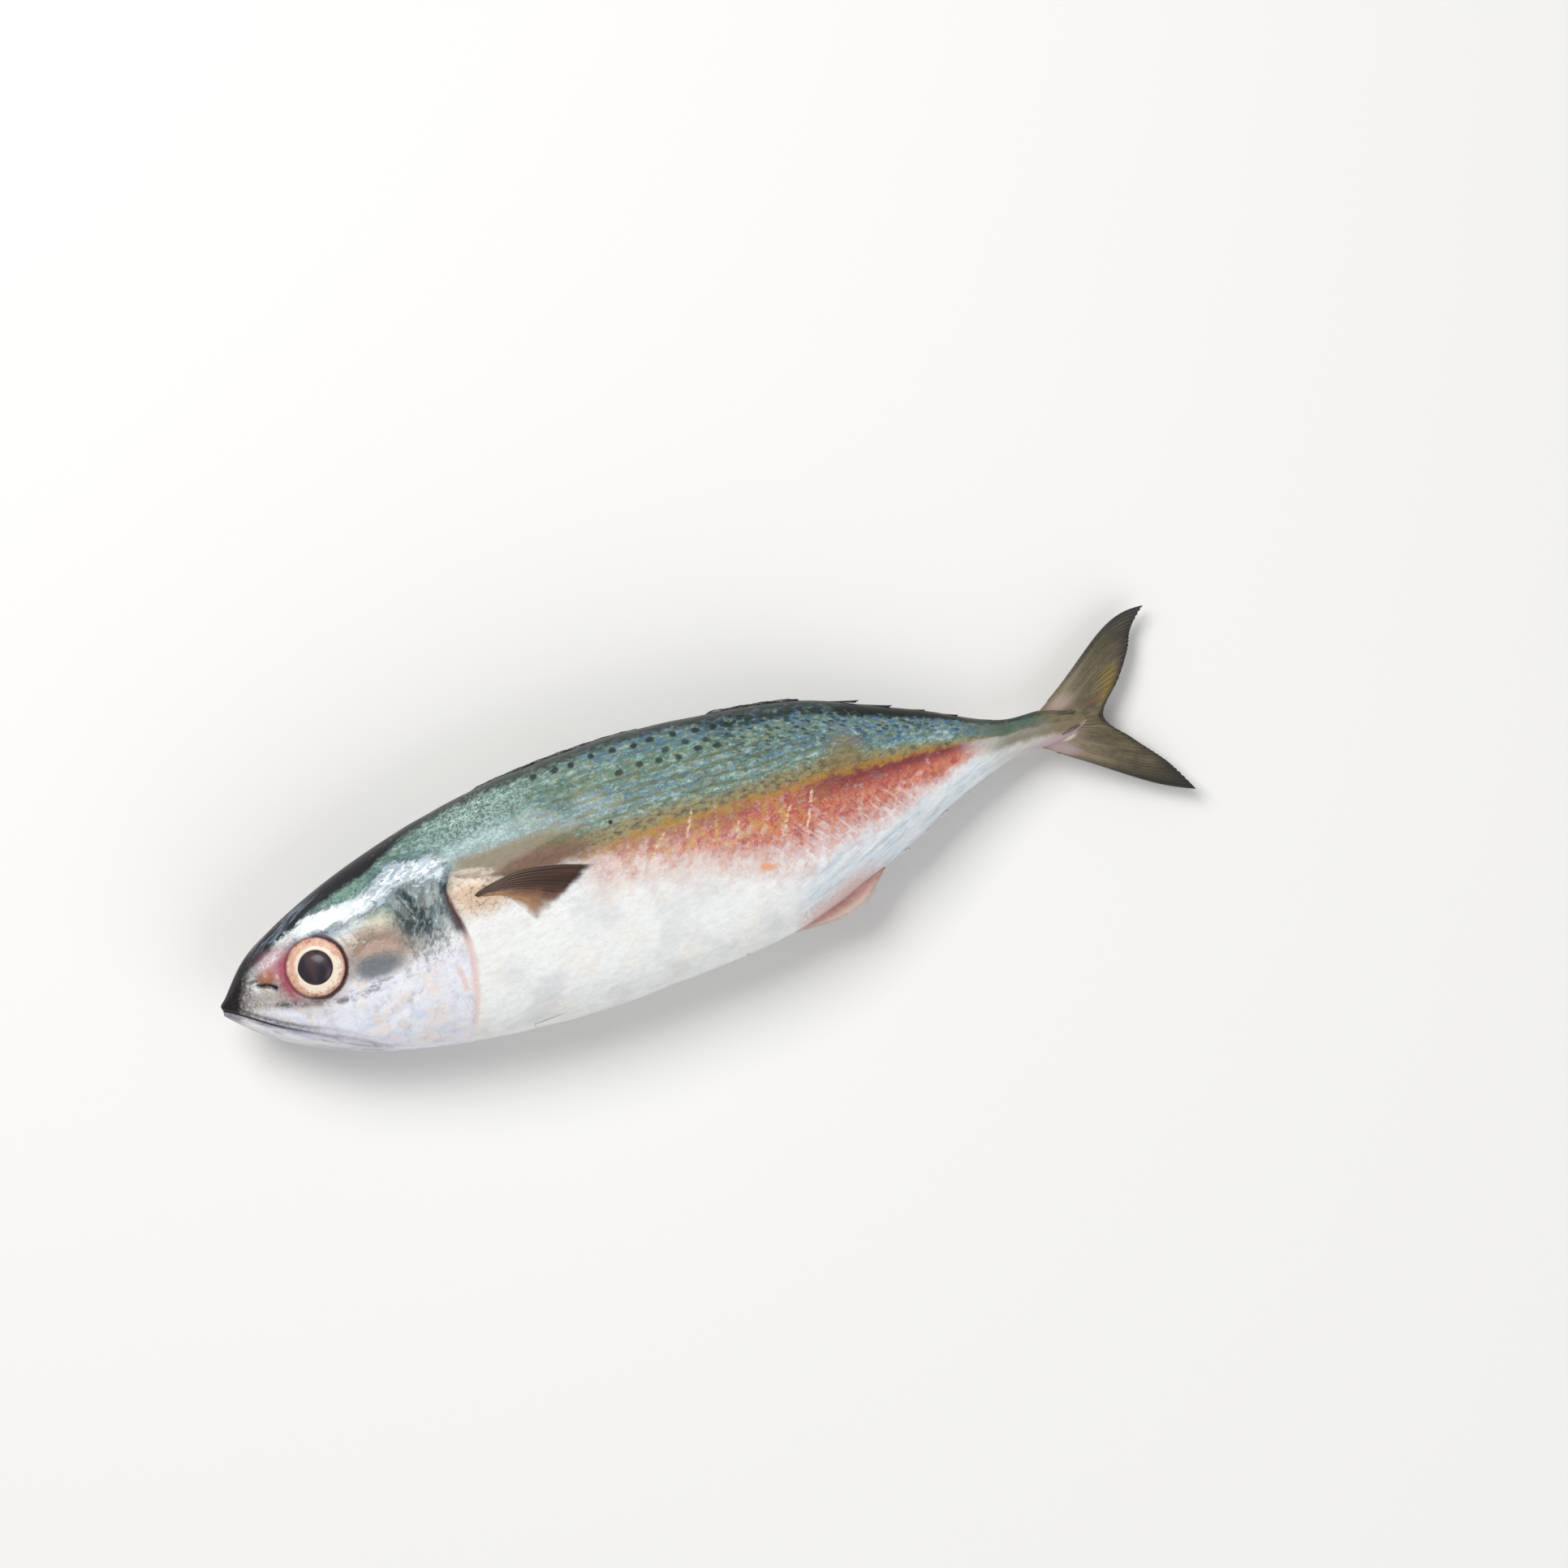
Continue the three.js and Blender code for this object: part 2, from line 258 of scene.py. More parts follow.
class Finish:
    """A material whose nodes are made one call at a time."""

    def __init__(self, name):
        self.material = bpy.data.materials.new(name)
        self.material.use_nodes = True
        self.tree = self.material.node_tree
        self.tree.nodes.clear()
        self.kept = {}

    def node(self, kind, settings=None, inputs=None):
        """A node of this type. Settings come first, then values or links of its sockets."""
        made = self.tree.nodes.new("ShaderNode" + kind)
        for name, value in (settings or {}).items():
            setattr(made, name, value)
        for name, value in (inputs or {}).items():
            if isinstance(value, Reading):
                value = value.socket
            if isinstance(value, bpy.types.NodeSocket):
                self.tree.links.new(value, made.inputs[name])
            else:
                made.inputs[name].default_value = value
        return made

    def read(self, kind, settings=None, inputs=None, output=0):
        """The same, as a reading of one of its outputs."""
        return Reading(self, self.node(kind, settings, inputs).outputs[output])

    def maths(self, operation, *values):
        return self.read("Math", {"operation": operation}, dict(enumerate(values)))

    def attribute(self, name):
        """A number that the piece's own mesh carries at every corner."""
        if name not in self.kept:
            self.kept[name] = self.read("Attribute", {"attribute_name": name}, output="Fac")
        return self.kept[name]

    def places(self):
        """Distance from the snout, height and depth on the surface, in millimetres."""
        if "places" not in self.kept:
            spot = self.node("TexCoord").outputs["Object"]
            moved = self.read("VectorMath", {"operation": "SUBTRACT"}, {0: spot, 1: tuple(SNOUT)})
            scaled = self.read("VectorMath", {"operation": "SCALE"}, {0: moved, "Scale": 1 / MM})
            parts = self.node("SeparateXYZ", inputs={0: scaled})
            self.kept["vector"] = scaled
            self.kept["places"] = tuple(Reading(self, out) for out in parts.outputs)
        return self.kept["places"]

    def stretched(self, along, up, out=1):
        """The place in millimetres, multiplied to stretch a pattern the other way."""
        self.places()
        inputs = {0: self.kept["vector"], 1: (along, up, out)}
        return self.read("VectorMath", {"operation": "MULTIPLY"}, inputs)

    def noise(self, scale, detail=2, rough=0.5, vector=None, distortion=0):
        """Soft cloudy noise round 0.5. A scale of 0.1 makes clouds of about 10 mm."""
        self.places()
        inputs = {"Vector": vector or self.kept["vector"], "Scale": scale, "Detail": detail}
        inputs |= {"Roughness": rough, "Distortion": distortion}
        return self.read("TexNoise", inputs=inputs)

    def cells(self, scale, vector):
        """Distance to the nearest of many scattered points."""
        return self.read("TexVoronoi", inputs={"Vector": vector, "Scale": scale}, output="Distance")

    def slanted(self, s, t, degrees, along, across):
        """A pattern vector turned on the flank and scaled along and across its grain."""
        c, d = math.cos(math.radians(degrees)), math.sin(math.radians(degrees))
        parts = {0: (s * c + t * d) * along, 1: (t * c - s * d) * across}
        parts[2] = self.places()[2] * (across * 0.8)
        return self.read("CombineXYZ", inputs=parts)

    def ease(self, value, low, high):
        """0 below low and 1 above high, smooth between. With low above high it falls."""
        falling = low > high
        inputs = {"Value": value, "From Min": min(low, high), "From Max": max(low, high)}
        inputs |= {"To Min": 1.0, "To Max": 0.0} if falling else {"To Min": 0.0, "To Max": 1.0}
        return self.read("MapRange", {"interpolation_type": "SMOOTHSTEP"}, inputs)

    def size(self, value):
        return self.maths("ABSOLUTE", value)

    def line(self, value, width, soft=0.5):
        """1 where the value is near 0, falling off past the width."""
        return self.ease(self.size(value), width * (1 + soft), width * (1 - soft))

    def blob(self, s, t, centre, radii, tilt=0.0, soft=0.3):
        """1 inside an oval on the flank, 0 outside it."""
        ds, dt = s - centre[0], t - centre[1]
        along = (ds * math.cos(tilt) + dt * math.sin(tilt)) / radii[0]
        up = (dt * math.cos(tilt) - ds * math.sin(tilt)) / radii[1]
        reach = self.maths("SQRT", along * along + up * up)
        return self.ease(reach, 1 + soft, 1 - soft)

    def blend(self, amount, under, over):
        """A colour: under where the amount is 0 and over where it is 1."""
        inputs = {0: amount, 6: under, 7: over}
        return self.read("Mix", {"data_type": "RGBA"}, inputs, output=2)

    def surface(self, values, height, depth, strength):
        """Joins the shader. Height is a relief from 0 to 1 that stands depth mm high."""
        inputs = {"Height": height, "Distance": depth * MM, "Strength": strength}
        values["Normal"] = self.read("Bump", inputs=inputs, output="Normal")
        shader = self.node("BsdfPrincipled", inputs=values)
        self.node("OutputMaterial", inputs={"Surface": shader.outputs[0]})
        return self.material


def paint(red, green, blue):
    """A colour as seen on a screen, 0 to 255, in the linear numbers that light uses."""
    shares = (red / 255, green / 255, blue / 255)
    linear = [((c + 0.055) / 1.055) ** 2.4 if c > 10 / 255 else c / 12.92 for c in shares]
    return (*linear, 1.0)


# %% [markdown]
# ## Helpers for meshes
#
# Two kinds of shape make the whole fish. A tube is a row of rings joined by faces and
# shut at both ends. A sheet is a thin slab for a fin, with two faces and an edge. Each
# carries numbers at its corners, such as the distance to an edge, for its finish to read.

# %% Tubes and sheets from rows of points
def mesh_object(name, points, faces, fields, finish):
    """A smooth mesh at the origin, with its place in its corners and a number per corner."""
    mesh = bpy.data.meshes.new(name)
    mesh.from_pydata(points.reshape(-1, 3).tolist(), [], faces)
    for field, values in fields.items():
        layer = mesh.attributes.new(field, "FLOAT", "POINT")
        layer.data.foreach_set("value", np.asarray(values, np.float32).ravel())
    mesh.polygons.foreach_set("use_smooth", [True] * len(mesh.polygons))
    mesh.materials.append(finish)
    made = bpy.data.objects.new(name, mesh)
    bpy.context.collection.objects.link(made)
    return made


def face_out(made):
    """Turns every face of a closed shape outwards."""
    shell = bmesh.new()
    shell.from_mesh(made.data)
    bmesh.ops.recalc_face_normals(shell, faces=shell.faces)
    shell.to_mesh(made.data)
    shell.free()


def tube_faces(rings, around, first=0):
    """Faces of a tube of rings, with a fan of triangles to a point at each end."""
    i, j = np.meshgrid(np.arange(rings - 1), np.arange(around), indexing="ij")
    nxt = (j + 1) % around
    here, ahead = i * around, (i + 1) * around
    quads = np.stack((here + j, ahead + j, ahead + nxt, here + nxt), -1)
    faces = (quads.reshape(-1, 4) + first).tolist()
    front, rear = first + rings * around, first + rings * around + 1
    last = first + (rings - 1) * around
    for k in range(around):
        after = (k + 1) % around
        faces.append([front, first + k, first + after])
        faces.append([rear, last + after, last + k])
    return faces


def sheet_points(middle, half):
    """Corners of a slab that lies flat: its upper face, then its lower face."""
    lift = np.zeros(middle.shape)
    lift[..., 2] = half
    return np.concatenate(((middle + lift).reshape(-1, 3), (middle - lift).reshape(-1, 3)))


def sheet_faces(rows, columns, first=0):
    """Faces of such a slab, with its rim closed."""
    under = rows * columns
    spot = np.arange(rows * columns).reshape(rows, columns)
    quads = np.stack((spot[:-1, :-1], spot[1:, :-1], spot[1:, 1:], spot[:-1, 1:]), -1).reshape(-1, 4)
    rim = np.concatenate((spot[:, 0], spot[-1, 1:], spot[-2::-1, -1], spot[0, -2:0:-1]))
    nxt = np.roll(rim, -1)
    walls = np.stack((rim, rim + under, nxt + under, nxt), -1)
    return (np.concatenate((quads, quads[:, ::-1] + under, walls)) + first).tolist()


def sheets(name, slabs, finish):
    """One piece made of several slabs. Each is its middle, its half thickness and its fields."""
    points, faces, fields = [], [], {}
    for middle, half, numbers in slabs:
        first = sum(len(part) for part in points)
        points.append(sheet_points(placed(middle), half * MM))
        faces += sheet_faces(*middle.shape[:2], first)
        for field, values in numbers.items():
            fields.setdefault(field, []).append(np.tile(np.asarray(values, float).ravel(), 2))
    fields = {field: np.concatenate(parts) for field, parts in fields.items()}
    made = mesh_object(name, np.concatenate(points), faces, fields, finish)
    face_out(made)
    return made


def keep(made):
    """Fixes a finished piece to the fish's one body, with nothing of it below the floor."""
    places = np.zeros(len(made.data.vertices) * 3)
    made.data.vertices.foreach_get("co", places)
    places[2::3] = np.maximum(places[2::3], box_low[2])
    made.data.vertices.foreach_set("co", places)
    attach(made, "root")
    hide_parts("fish")
    print(made.name, len(made.data.polygons), "faces")


# %% [markdown]
# ## Lines drawn on the flank
#
# The head is full of edges: the jaw, the gill cover's rear edge, the folds round the eye.
# Each is drawn once, as a curve through a few points seen from the side. The distance to
# it serves twice. It carves the edge into the skin, and it steers the colours beside it.

# %% Edges of the head and distances to them
GILL_EDGE = (
    (77.6, 17.4), (75.2, 12.5), (75.4, 7), (76.8, 0), (77.4, -8), (75.8, -17), (72.6, -26),
    (69, -32.5),
)
GILL_STATION = tuple((t, s) for s, t in reversed(GILL_EDGE))
CHEEK_EDGE = ((62, 15), (65.4, 6), (65, -4), (60, -13), (50, -18.4), (42, -20.4))
MOUTH = ((-2, -0.4), (5, -4.6), (15, -11.4), (27, -17.8), (37, -21.9), (44, -26.4))
LIP_EDGE = ((6, -3.2), (14, -8.6), (22, -13.2), (30, -16.8), (37.5, -21.2))
UNDER_EYE = ((17, -5), (24, -6.6), (31, -8.6), (37, -9.7), (43, -9.9), (49, -9.2))
CROWN_EDGE = (
    (0, 4), (5, 5.8), (12, 8), (20, 11.2), (25, 13.6), (31, 17), (37, 19.6), (46, 22.2),
    (54, 24.6), (66, 30), (82, 36),
)
BROW = (
    (21, 11.2), (26, 13), (32, 14.6), (38, 15.3), (45, 15.6), (51, 16.4), (56, 18.2), (61, 21),
    (67, 21), (72, 20), (77, 19),
)
REAR_NOSTRIL = ((13, 2.6), (15.6, 1.8), (18.2, 0.3))
FRONT_NOSTRIL = ((11, 4), (12, 4.2), (13, 4))
EYE_CENTRE = (31.3, 2.4)
CURVE_STEPS = 40


def on_curve(points, where):
    """Places on a smooth curve through every point. Where runs from 0 at its start to 1."""
    p = np.array(points, float)
    p = np.concatenate((p[:1], p, p[-1:]))
    run = where * (len(points) - 1)
    i = np.minimum(run.astype(int), len(points) - 2)
    w = (run - i)[..., None]
    before, start, end, after = p[i], p[i + 1], p[i + 2], p[i + 3]
    leave, reach = (end - before) / 2, (after - start) / 2
    bend = (2 * start - 2 * end + leave + reach) * w**3
    return bend + (3 * end - 3 * start - 2 * leave - reach) * w**2 + leave * w + start


def off_line(points, s, t):
    """Distance to a drawn curve."""
    curve = on_curve(points, np.linspace(0, 1, CURVE_STEPS))
    nearest = np.full(s.shape, 1e9)
    for (s0, t0), (s1, t1) in zip(curve[:-1], curve[1:]):
        ds, dt = s1 - s0, t1 - t0
        p = np.clip(((s - s0) * ds + (t - t0) * dt) / (ds * ds + dt * dt), 0, 1)
        nearest = np.minimum(nearest, np.hypot(s - s0 - p * ds, t - t0 - p * dt))
    return nearest


def flank_fields(s, t):
    """The numbers that the skin's shape and finish both read."""
    back, belly = through(BACK, s), through(BELLY, s)
    return {
        "height": (t - belly) / np.maximum(back - belly, 0.1),
        "gill": s - through(GILL_STATION, t),
        "cheek": off_line(CHEEK_EDGE, s, t),
        "mouth": off_line(MOUTH, s, t),
        "over_mouth": t - through(MOUTH, s),
        "lip": off_line(LIP_EDGE, s, t),
        "under_eye": off_line(UNDER_EYE, s, t),
        "crown": t - through(CROWN_EDGE, s),
        "brow": off_line(BROW, s, t),
        "eye": np.hypot(s - EYE_CENTRE[0], t - EYE_CENTRE[1]),
        "nostril": off_line(REAR_NOSTRIL, s, t),
        "front_nostril": off_line(FRONT_NOSTRIL, s, t),
    }


print("edges drawn:", len(flank_fields(np.zeros(1), np.zeros(1))))

# %% [markdown]
# ## The relief of the skin
#
# The gill cover is a bony plate that overlaps the body, with a slit behind it. The mouth
# is a crease, the eye sits in a ringed socket, and the muscle under the rear flank shows
# as slanting folds. All are fractions of a millimetre to a millimetre, and they are real
# steps in the mesh, because light has to catch them from any side.

# %% Steps, slits and folds
COVER_LIP = 0.6
SLIT_DEPTH = 1.2
SHOULDER_SINK = 0.7
MOUTH_DEPTH = 0.8
SOCKET_DEPTH = 2.4
SOCKET_RADIUS = 9.5
LID_HEIGHT = 0.35
FOLD_HEIGHT = 0.12
FOLD_PITCH = 5.2


def gill_relief(f, t):
    """The lip of the gill cover, the slit behind it and the sunk shoulder."""
    shown = rise(t, 21, 16) * (0.12 + 0.88 * rise(t, -6, 3))
    front = rise(f["gill"], 0.2, -0.2)
    lip = COVER_LIP * hump(f["gill"], 9) * front
    slit = -SLIT_DEPTH * hump(f["gill"] - 0.5, 0.7)
    shoulder = -SHOULDER_SINK * np.exp(-np.abs(f["gill"]) / 7) * (1 - front)
    return (lip + slit + shoulder) * shown


def head_relief(f, s, t):
    """Jaw, lip, cheek plate, fold under the eye, nostrils and the eye's socket."""
    mouth = -MOUTH_DEPTH * hump(f["mouth"], 0.6) * rise(s, 36, 16) + 0.3 * hump(f["mouth"] - 2, 1.4)
    lip = -0.3 * hump(f["lip"], 0.6)
    plate = -0.3 * hump(f["cheek"], 1) + 0.25 * hump(f["cheek"] - 3, 2.4)
    fold = -0.3 * hump(f["under_eye"], 0.8) + 0.2 * hump(f["under_eye"] - 2.2, 1.5)
    nose = -0.6 * hump(f["nostril"], 0.6) - 0.4 * hump(f["front_nostril"], 0.5)
    flap = 0.35 * hump(f["nostril"] - 2.2, 1.3)
    socket = -SOCKET_DEPTH * rise(f["eye"], SOCKET_RADIUS, SOCKET_RADIUS - 1)
    lid = LID_HEIGHT * hump(f["eye"] - SOCKET_RADIUS - 0.7, 0.8)
    ring = 0.3 * hump(f["eye"] - 12.5, 1.6) - 0.25 * hump(f["eye"] - 14.6, 1.2)
    ridge = 0.25 * hump(f["crown"], 1.2) * rise(s, 10, 20) * rise(s, 60, 46)
    clear = rise(f["eye"], SOCKET_RADIUS, SOCKET_RADIUS + 1.5)
    edges = (mouth + lip + plate + fold + nose + flap) * clear
    return edges + socket + lid + ring * rise(t, 12, 8) + ridge


def flank_relief(f, s, t):
    """Slanting folds of muscle at the rear, and the soft unevenness of a limp body."""
    rear = rise(s, 150, 185) * rise(s, 250, 225)
    bend = np.abs(f["height"] - 0.5)
    folds = FOLD_HEIGHT * np.sin(2 * math.pi * (s + 26 * bend) / FOLD_PITCH) * rear
    keel_line = 0.35 * hump(f["height"] - 0.56, 0.035) * rise(s, 225, 250)
    soft = 0.14 * np.sin(s / 6.1 + t / 9) + 0.12 * np.sin(s / 11.3 - t / 5.7 + 1.7)
    soft += 0.07 * np.sin(s / 2.9 + t / 3.7 + 0.6)
    return folds * hump(bend, 0.34) + keel_line + soft * rise(s, 60, 85) * rise(s, 262, 240)


def relief(f, s, t):
    return gill_relief(f, t) + head_relief(f, s, t) + flank_relief(f, s, t)


# %% [markdown]
# ## The body
#
# A fine loft of rings follows the three curves, and every point is then pushed along the
# skin's own normal by the relief. Rings stand closer at the head, where the detail is.
# The right flank, which the fish lies on, gets the same relief, and it is pressed flat
# where it meets the floor.

# %% Loft the body
HEAD_LENGTH = 85
HEAD_RINGS = 190
HEAD_PACKING = 1.15
REAR_RINGS = 209
AROUND = 240
FINISH_CHANGE = 100


def ring_points(s):
    """Rings of points in millimetres, before the sag."""
    angle = np.linspace(0, 2 * math.pi, AROUND, endpoint=False)[None, :]
    s = s[:, None]
    back, belly, thick = through(BACK, s), through(BELLY, s), through(HALF_THICKNESS, s)
    power = 2 / FLANK_FULLNESS
    up = np.sign(np.cos(angle)) * np.abs(np.cos(angle)) ** power
    out = np.sign(np.sin(angle)) * np.abs(np.sin(angle)) ** power
    t = (back + belly) / 2 + (back - belly) / 2 * up
    return np.stack(np.broadcast_arrays(s, t, thick * out), -1)


def normals_of(rings):
    """Unit vectors pointing out of a stack of rings."""
    along = np.gradient(rings, axis=0)
    around = (np.roll(rings, -1, 1) - np.roll(rings, 1, 1)) / 2
    out = np.cross(around, along)
    return out / np.maximum(np.linalg.norm(out, axis=-1, keepdims=True), 1e-9)


def loft_body(head_finish, rear_finish):
    """The whole body as one mesh. Its faces wear one finish in front and another behind."""
    head = np.linspace(0, 1, HEAD_RINGS, endpoint=False) ** HEAD_PACKING * HEAD_LENGTH
    rear = np.linspace(HEAD_LENGTH, BODY_LENGTH, REAR_RINGS)
    rings = ring_points(np.concatenate((head, rear)))
    fields = flank_fields(rings[..., 0], rings[..., 1])
    bumps = relief(fields, rings[..., 0], rings[..., 1])
    rings = rings + normals_of(rings) * bumps[..., None]
    ends = np.stack((rings[0].mean(0), rings[-1].mean(0)))
    points = np.concatenate((rings.reshape(-1, 3), ends))
    fields = {k: np.concatenate((v.ravel(), (v[0].mean(), v[-1].mean()))) for k, v in fields.items()}
    sagged = placed(points)
    sagged[:, 2] = np.maximum(sagged[:, 2], box_low[2])
    made = mesh_object("body", sagged, tube_faces(len(rings), AROUND), fields, head_finish)
    face_out(made)
    made.data.materials.append(rear_finish)
    places = np.zeros(len(made.data.polygons) * 3)
    made.data.polygons.foreach_get("center", places)
    behind = (places[::3] - SNOUT[0]) / MM > FINISH_CHANGE
    made.data.polygons.foreach_set("material_index", behind.astype(np.int32))
    layer = made.data.uv_layers.new(name="skin_map")
    corner = np.zeros(len(made.data.loops), int)
    made.data.loops.foreach_get("vertex_index", corner)
    station = np.append(np.repeat(rings[:, 0, 0], AROUND), (0, BODY_LENGTH))[corner] / BODY_LENGTH
    girth = np.append(np.tile(np.arange(AROUND), len(rings)), (0, 0))[corner] / AROUND
    owner = np.repeat(np.arange(len(made.data.polygons)), [p.loop_total for p in made.data.polygons])
    furthest = np.zeros(len(made.data.polygons))
    np.maximum.at(furthest, owner, girth)
    girth += (furthest[owner] > 0.75) & (girth < 0.25)
    layer.data.foreach_set("uv", np.stack((station, girth), -1).ravel())
    return made


# %% [markdown]
# ## The skin's colours, layer by layer
#
# A mackerel is painted from the belly up: white, then a flush of red where the muscle
# shows through, then a golden line, then olive and teal bands, spots, and a dark ridge.
# Each layer is a colour laid over the last through a mask. The masks read the height
# from belly to back, so they follow the body as it narrows. Cloudy noise frays them.

# %% Belly, flush and bands
BELLY_WHITE = paint(232, 234, 233)
BELLY_SHADE = paint(208, 209, 212)
BELLY_WARM = paint(232, 224, 212)
FLUSH_EDGE = paint(214, 184, 168)
FLUSH_RED = paint(172, 84, 76)
FLUSH_DARK = paint(106, 34, 46)
FLUSH_CORAL = paint(200, 122, 94)
FLUSH_PALE = paint(218, 182, 166)
FLUSH_GOLD = paint(196, 148, 76)
FLUSH_LILAC = paint(214, 196, 202)
GOLDEN_LINE = paint(166, 132, 62)
BROWN_BAND = paint(110, 106, 88)
BROWN_SHADE = paint(74, 70, 58)
OLIVE_LIGHT = paint(146, 140, 104)
OLIVE_BAND = paint(92, 98, 66)
BACK_TEAL = paint(106, 136, 130)
BACK_PALE = paint(178, 202, 198)
BACK_SHADE = paint(56, 78, 74)
BACK_MIST = paint(150, 180, 194)
BACK_BLUE = paint(78, 110, 142)
BACK_OLIVE = paint(134, 132, 88)
BACK_GREEN = paint(84, 112, 90)
RIDGE_DARK = paint(22, 30, 26)


def belly_finish(f):
    """White skin with faint grey clouds, warm patches and fine mottling."""
    cloud = f.noise(0.07, 3)
    fleck = f.noise(0.5, 3, vector=f.stretched(0.7, 1.3))
    colour = f.blend(f.ease(cloud, 0.46, 0.68) * 0.6, BELLY_WHITE, BELLY_SHADE)
    colour = f.blend(f.ease(fleck, 0.5, 0.7) * 0.35, colour, BELLY_SHADE)
    warm = f.ease(f.noise(0.11, 2, vector=f.stretched(1, 1, 1.1)), 0.5, 0.68)
    return f.blend(warm * 0.4, colour, BELLY_WARM)


def flush_finish(f, under):
    """The coral and red flush of the flank, darker above and flecked with gold."""
    s, t, _ = f.places()
    h = f.attribute("height")
    lean = f.slanted(s, t, 58, 0.2, 0.42)
    patch = f.noise(0.2, 4, 0.7, f.stretched(0.8, 1))
    ragged = h + (f.noise(1, 4, 0.7, lean) - 0.5) * 0.22 + (patch - 0.5) * 0.26
    low = 0.55 - 0.25 * f.ease(s, 112, 206) + 0.1 * f.ease(s, 224, 246)
    reach = f.ease(s, 110, 130) * f.ease(s, 248, 232)
    halo = f.ease(ragged - low, -0.2, 0.0) * reach
    red = f.ease(ragged - low, -0.08, 0.08) * reach
    clump = f.noise(0.4, 4, 0.75, f.slanted(s, t, 40, 0.8, 1.2), 0.4)
    tone = f.blend(f.ease(clump, 0.44, 0.56), FLUSH_RED, FLUSH_CORAL)
    speck = f.ease(f.noise(0.8, 3, 0.75), 0.54, 0.64) * f.ease(patch, 0.38, 0.52)
    tone = f.blend(speck * (0.6 - 0.4 * f.ease(s, 185, 215)), tone, FLUSH_PALE)
    gold = f.ease(f.noise(0.3, 4, 0.7, f.stretched(1, 1, 1.7)), 0.48, 0.58) * f.ease(s, 212, 176)
    tone = f.blend(gold * f.ease(h, 0.4, 0.5) * 0.85, tone, FLUSH_GOLD)
    ashen = f.ease(f.noise(0.3, 4, 0.7, f.stretched(0.7, 1.3, 1.9)), 0.54, 0.62)
    tone = f.blend(ashen * 0.4, tone, FLUSH_LILAC)
    dark = f.ease(h + (clump - 0.5) * 0.26, 0.44, 0.56) * f.ease(s, 172, 200)
    tone = f.blend(dark * 0.85, tone, FLUSH_DARK)
    mauve = f.ease(h + (clump - 0.5) * 0.24, 0.5, 0.58) * f.ease(s, 186, 165)
    tone = f.blend(mauve * 0.5, tone, FLUSH_DARK)
    colour = f.blend(halo * 0.45, under, FLUSH_LILAC)
    edge = f.maths("MAXIMUM", speck * 0.6, f.ease(s, 190, 160) * 0.5)
    colour = f.blend(halo * edge, colour, FLUSH_EDGE)
    fringe = f.ease(s, 160, 182) * f.ease(s, 226, 206) * f.ease(ragged - low, -0.24, -0.08)
    colour = f.blend(fringe * f.ease(clump, 0.4, 0.56) * 0.5, colour, FLUSH_CORAL)
    return f.blend(red * (0.84 + 0.14 * f.ease(s, 130, 190)), colour, tone)


def back_finish(f):
    """The teal back: fine grains and dashes of pale, blue, olive and dark green."""
    s, t, _ = f.places()
    h = f.attribute("height")
    dashes = f.noise(0.5, 4, 0.75, f.slanted(s, t, 4, 0.7, 1.4))
    grains = f.noise(1.1, 3, 0.75)
    broad = f.noise(0.16, 3, 0.6, f.slanted(s, t, 2, 0.5, 1.6))
    mix = dashes * 0.45 + grains * 0.35 + broad * 0.2
    teal = f.blend(f.ease(mix, 0.46, 0.64), BACK_TEAL, BACK_PALE)
    teal = f.blend(f.ease(mix, 0.51, 0.36) * 0.8, teal, BACK_SHADE)
    early = f.ease(s, 126, 96) * f.ease(h, 0.92, 0.8)
    teal = f.blend(early * 0.3, teal, BACK_MIST)
    threads = f.noise(0.6, 3, 0.7, f.stretched(2.2, 0.35))
    teal = f.blend(f.ease(threads, 0.5, 0.62) * f.ease(s, 134, 104) * 0.35, teal, BACK_SHADE)
    olive = f.noise(0.5, 4, 0.65, f.stretched(0.45, 1.3, 2.3))
    teal = f.blend(f.ease(olive, 0.46, 0.62) * f.ease(s, 96, 120) * 0.6, teal, BACK_OLIVE)
    green = f.ease(f.noise(0.4, 4, 0.65, f.stretched(0.5, 1.4)), 0.44, 0.58) * f.ease(h, 0.74, 0.9)
    teal = f.blend(green * 0.5, teal, BACK_GREEN)
    blue = f.ease(f.noise(0.5, 4, 0.65, f.stretched(0.6, 1.2, 2)), 0.42, 0.6)
    high = f.ease(h, 0.86, 0.95) * f.ease(s, 112, 140) + f.ease(h, 0.7, 0.8) * f.ease(s, 175, 205) * 0.7
    low = f.ease(h, 0.68, 0.73) * f.ease(h, 0.86, 0.78) * 0.5 * f.ease(s, 100, 116)
    teal = f.blend(blue * f.maths("MINIMUM", high + low, 0.9), teal, BACK_BLUE)
    # Painted highlight: a pale speckled patch on the upper back behind the head, where the scales
    # sparkle.
    sparkle_patch = f.blob(s, t, (90, 31), (17, 8.5), 0.3, 0.6) * f.ease(grains, 0.44, 0.58)
    teal = f.blend(sparkle_patch * 0.5, teal, BACK_PALE)
    wave = (f.noise(0.12, 3, vector=f.stretched(0.6, 1)) - 0.5) * 0.06
    turn = f.maths("SINE", (h + wave) * (2 * math.pi / 0.043))
    bands = f.ease(turn, 0.15, 0.95) * f.ease(h, 0.64, 0.68) * f.ease(h, 0.88, 0.84)
    bands = bands * f.ease(s, 92, 118) * f.ease(s, 222, 190) * f.ease(olive, 0.36, 0.5)
    return f.blend(bands * 0.62, teal, OLIVE_BAND)


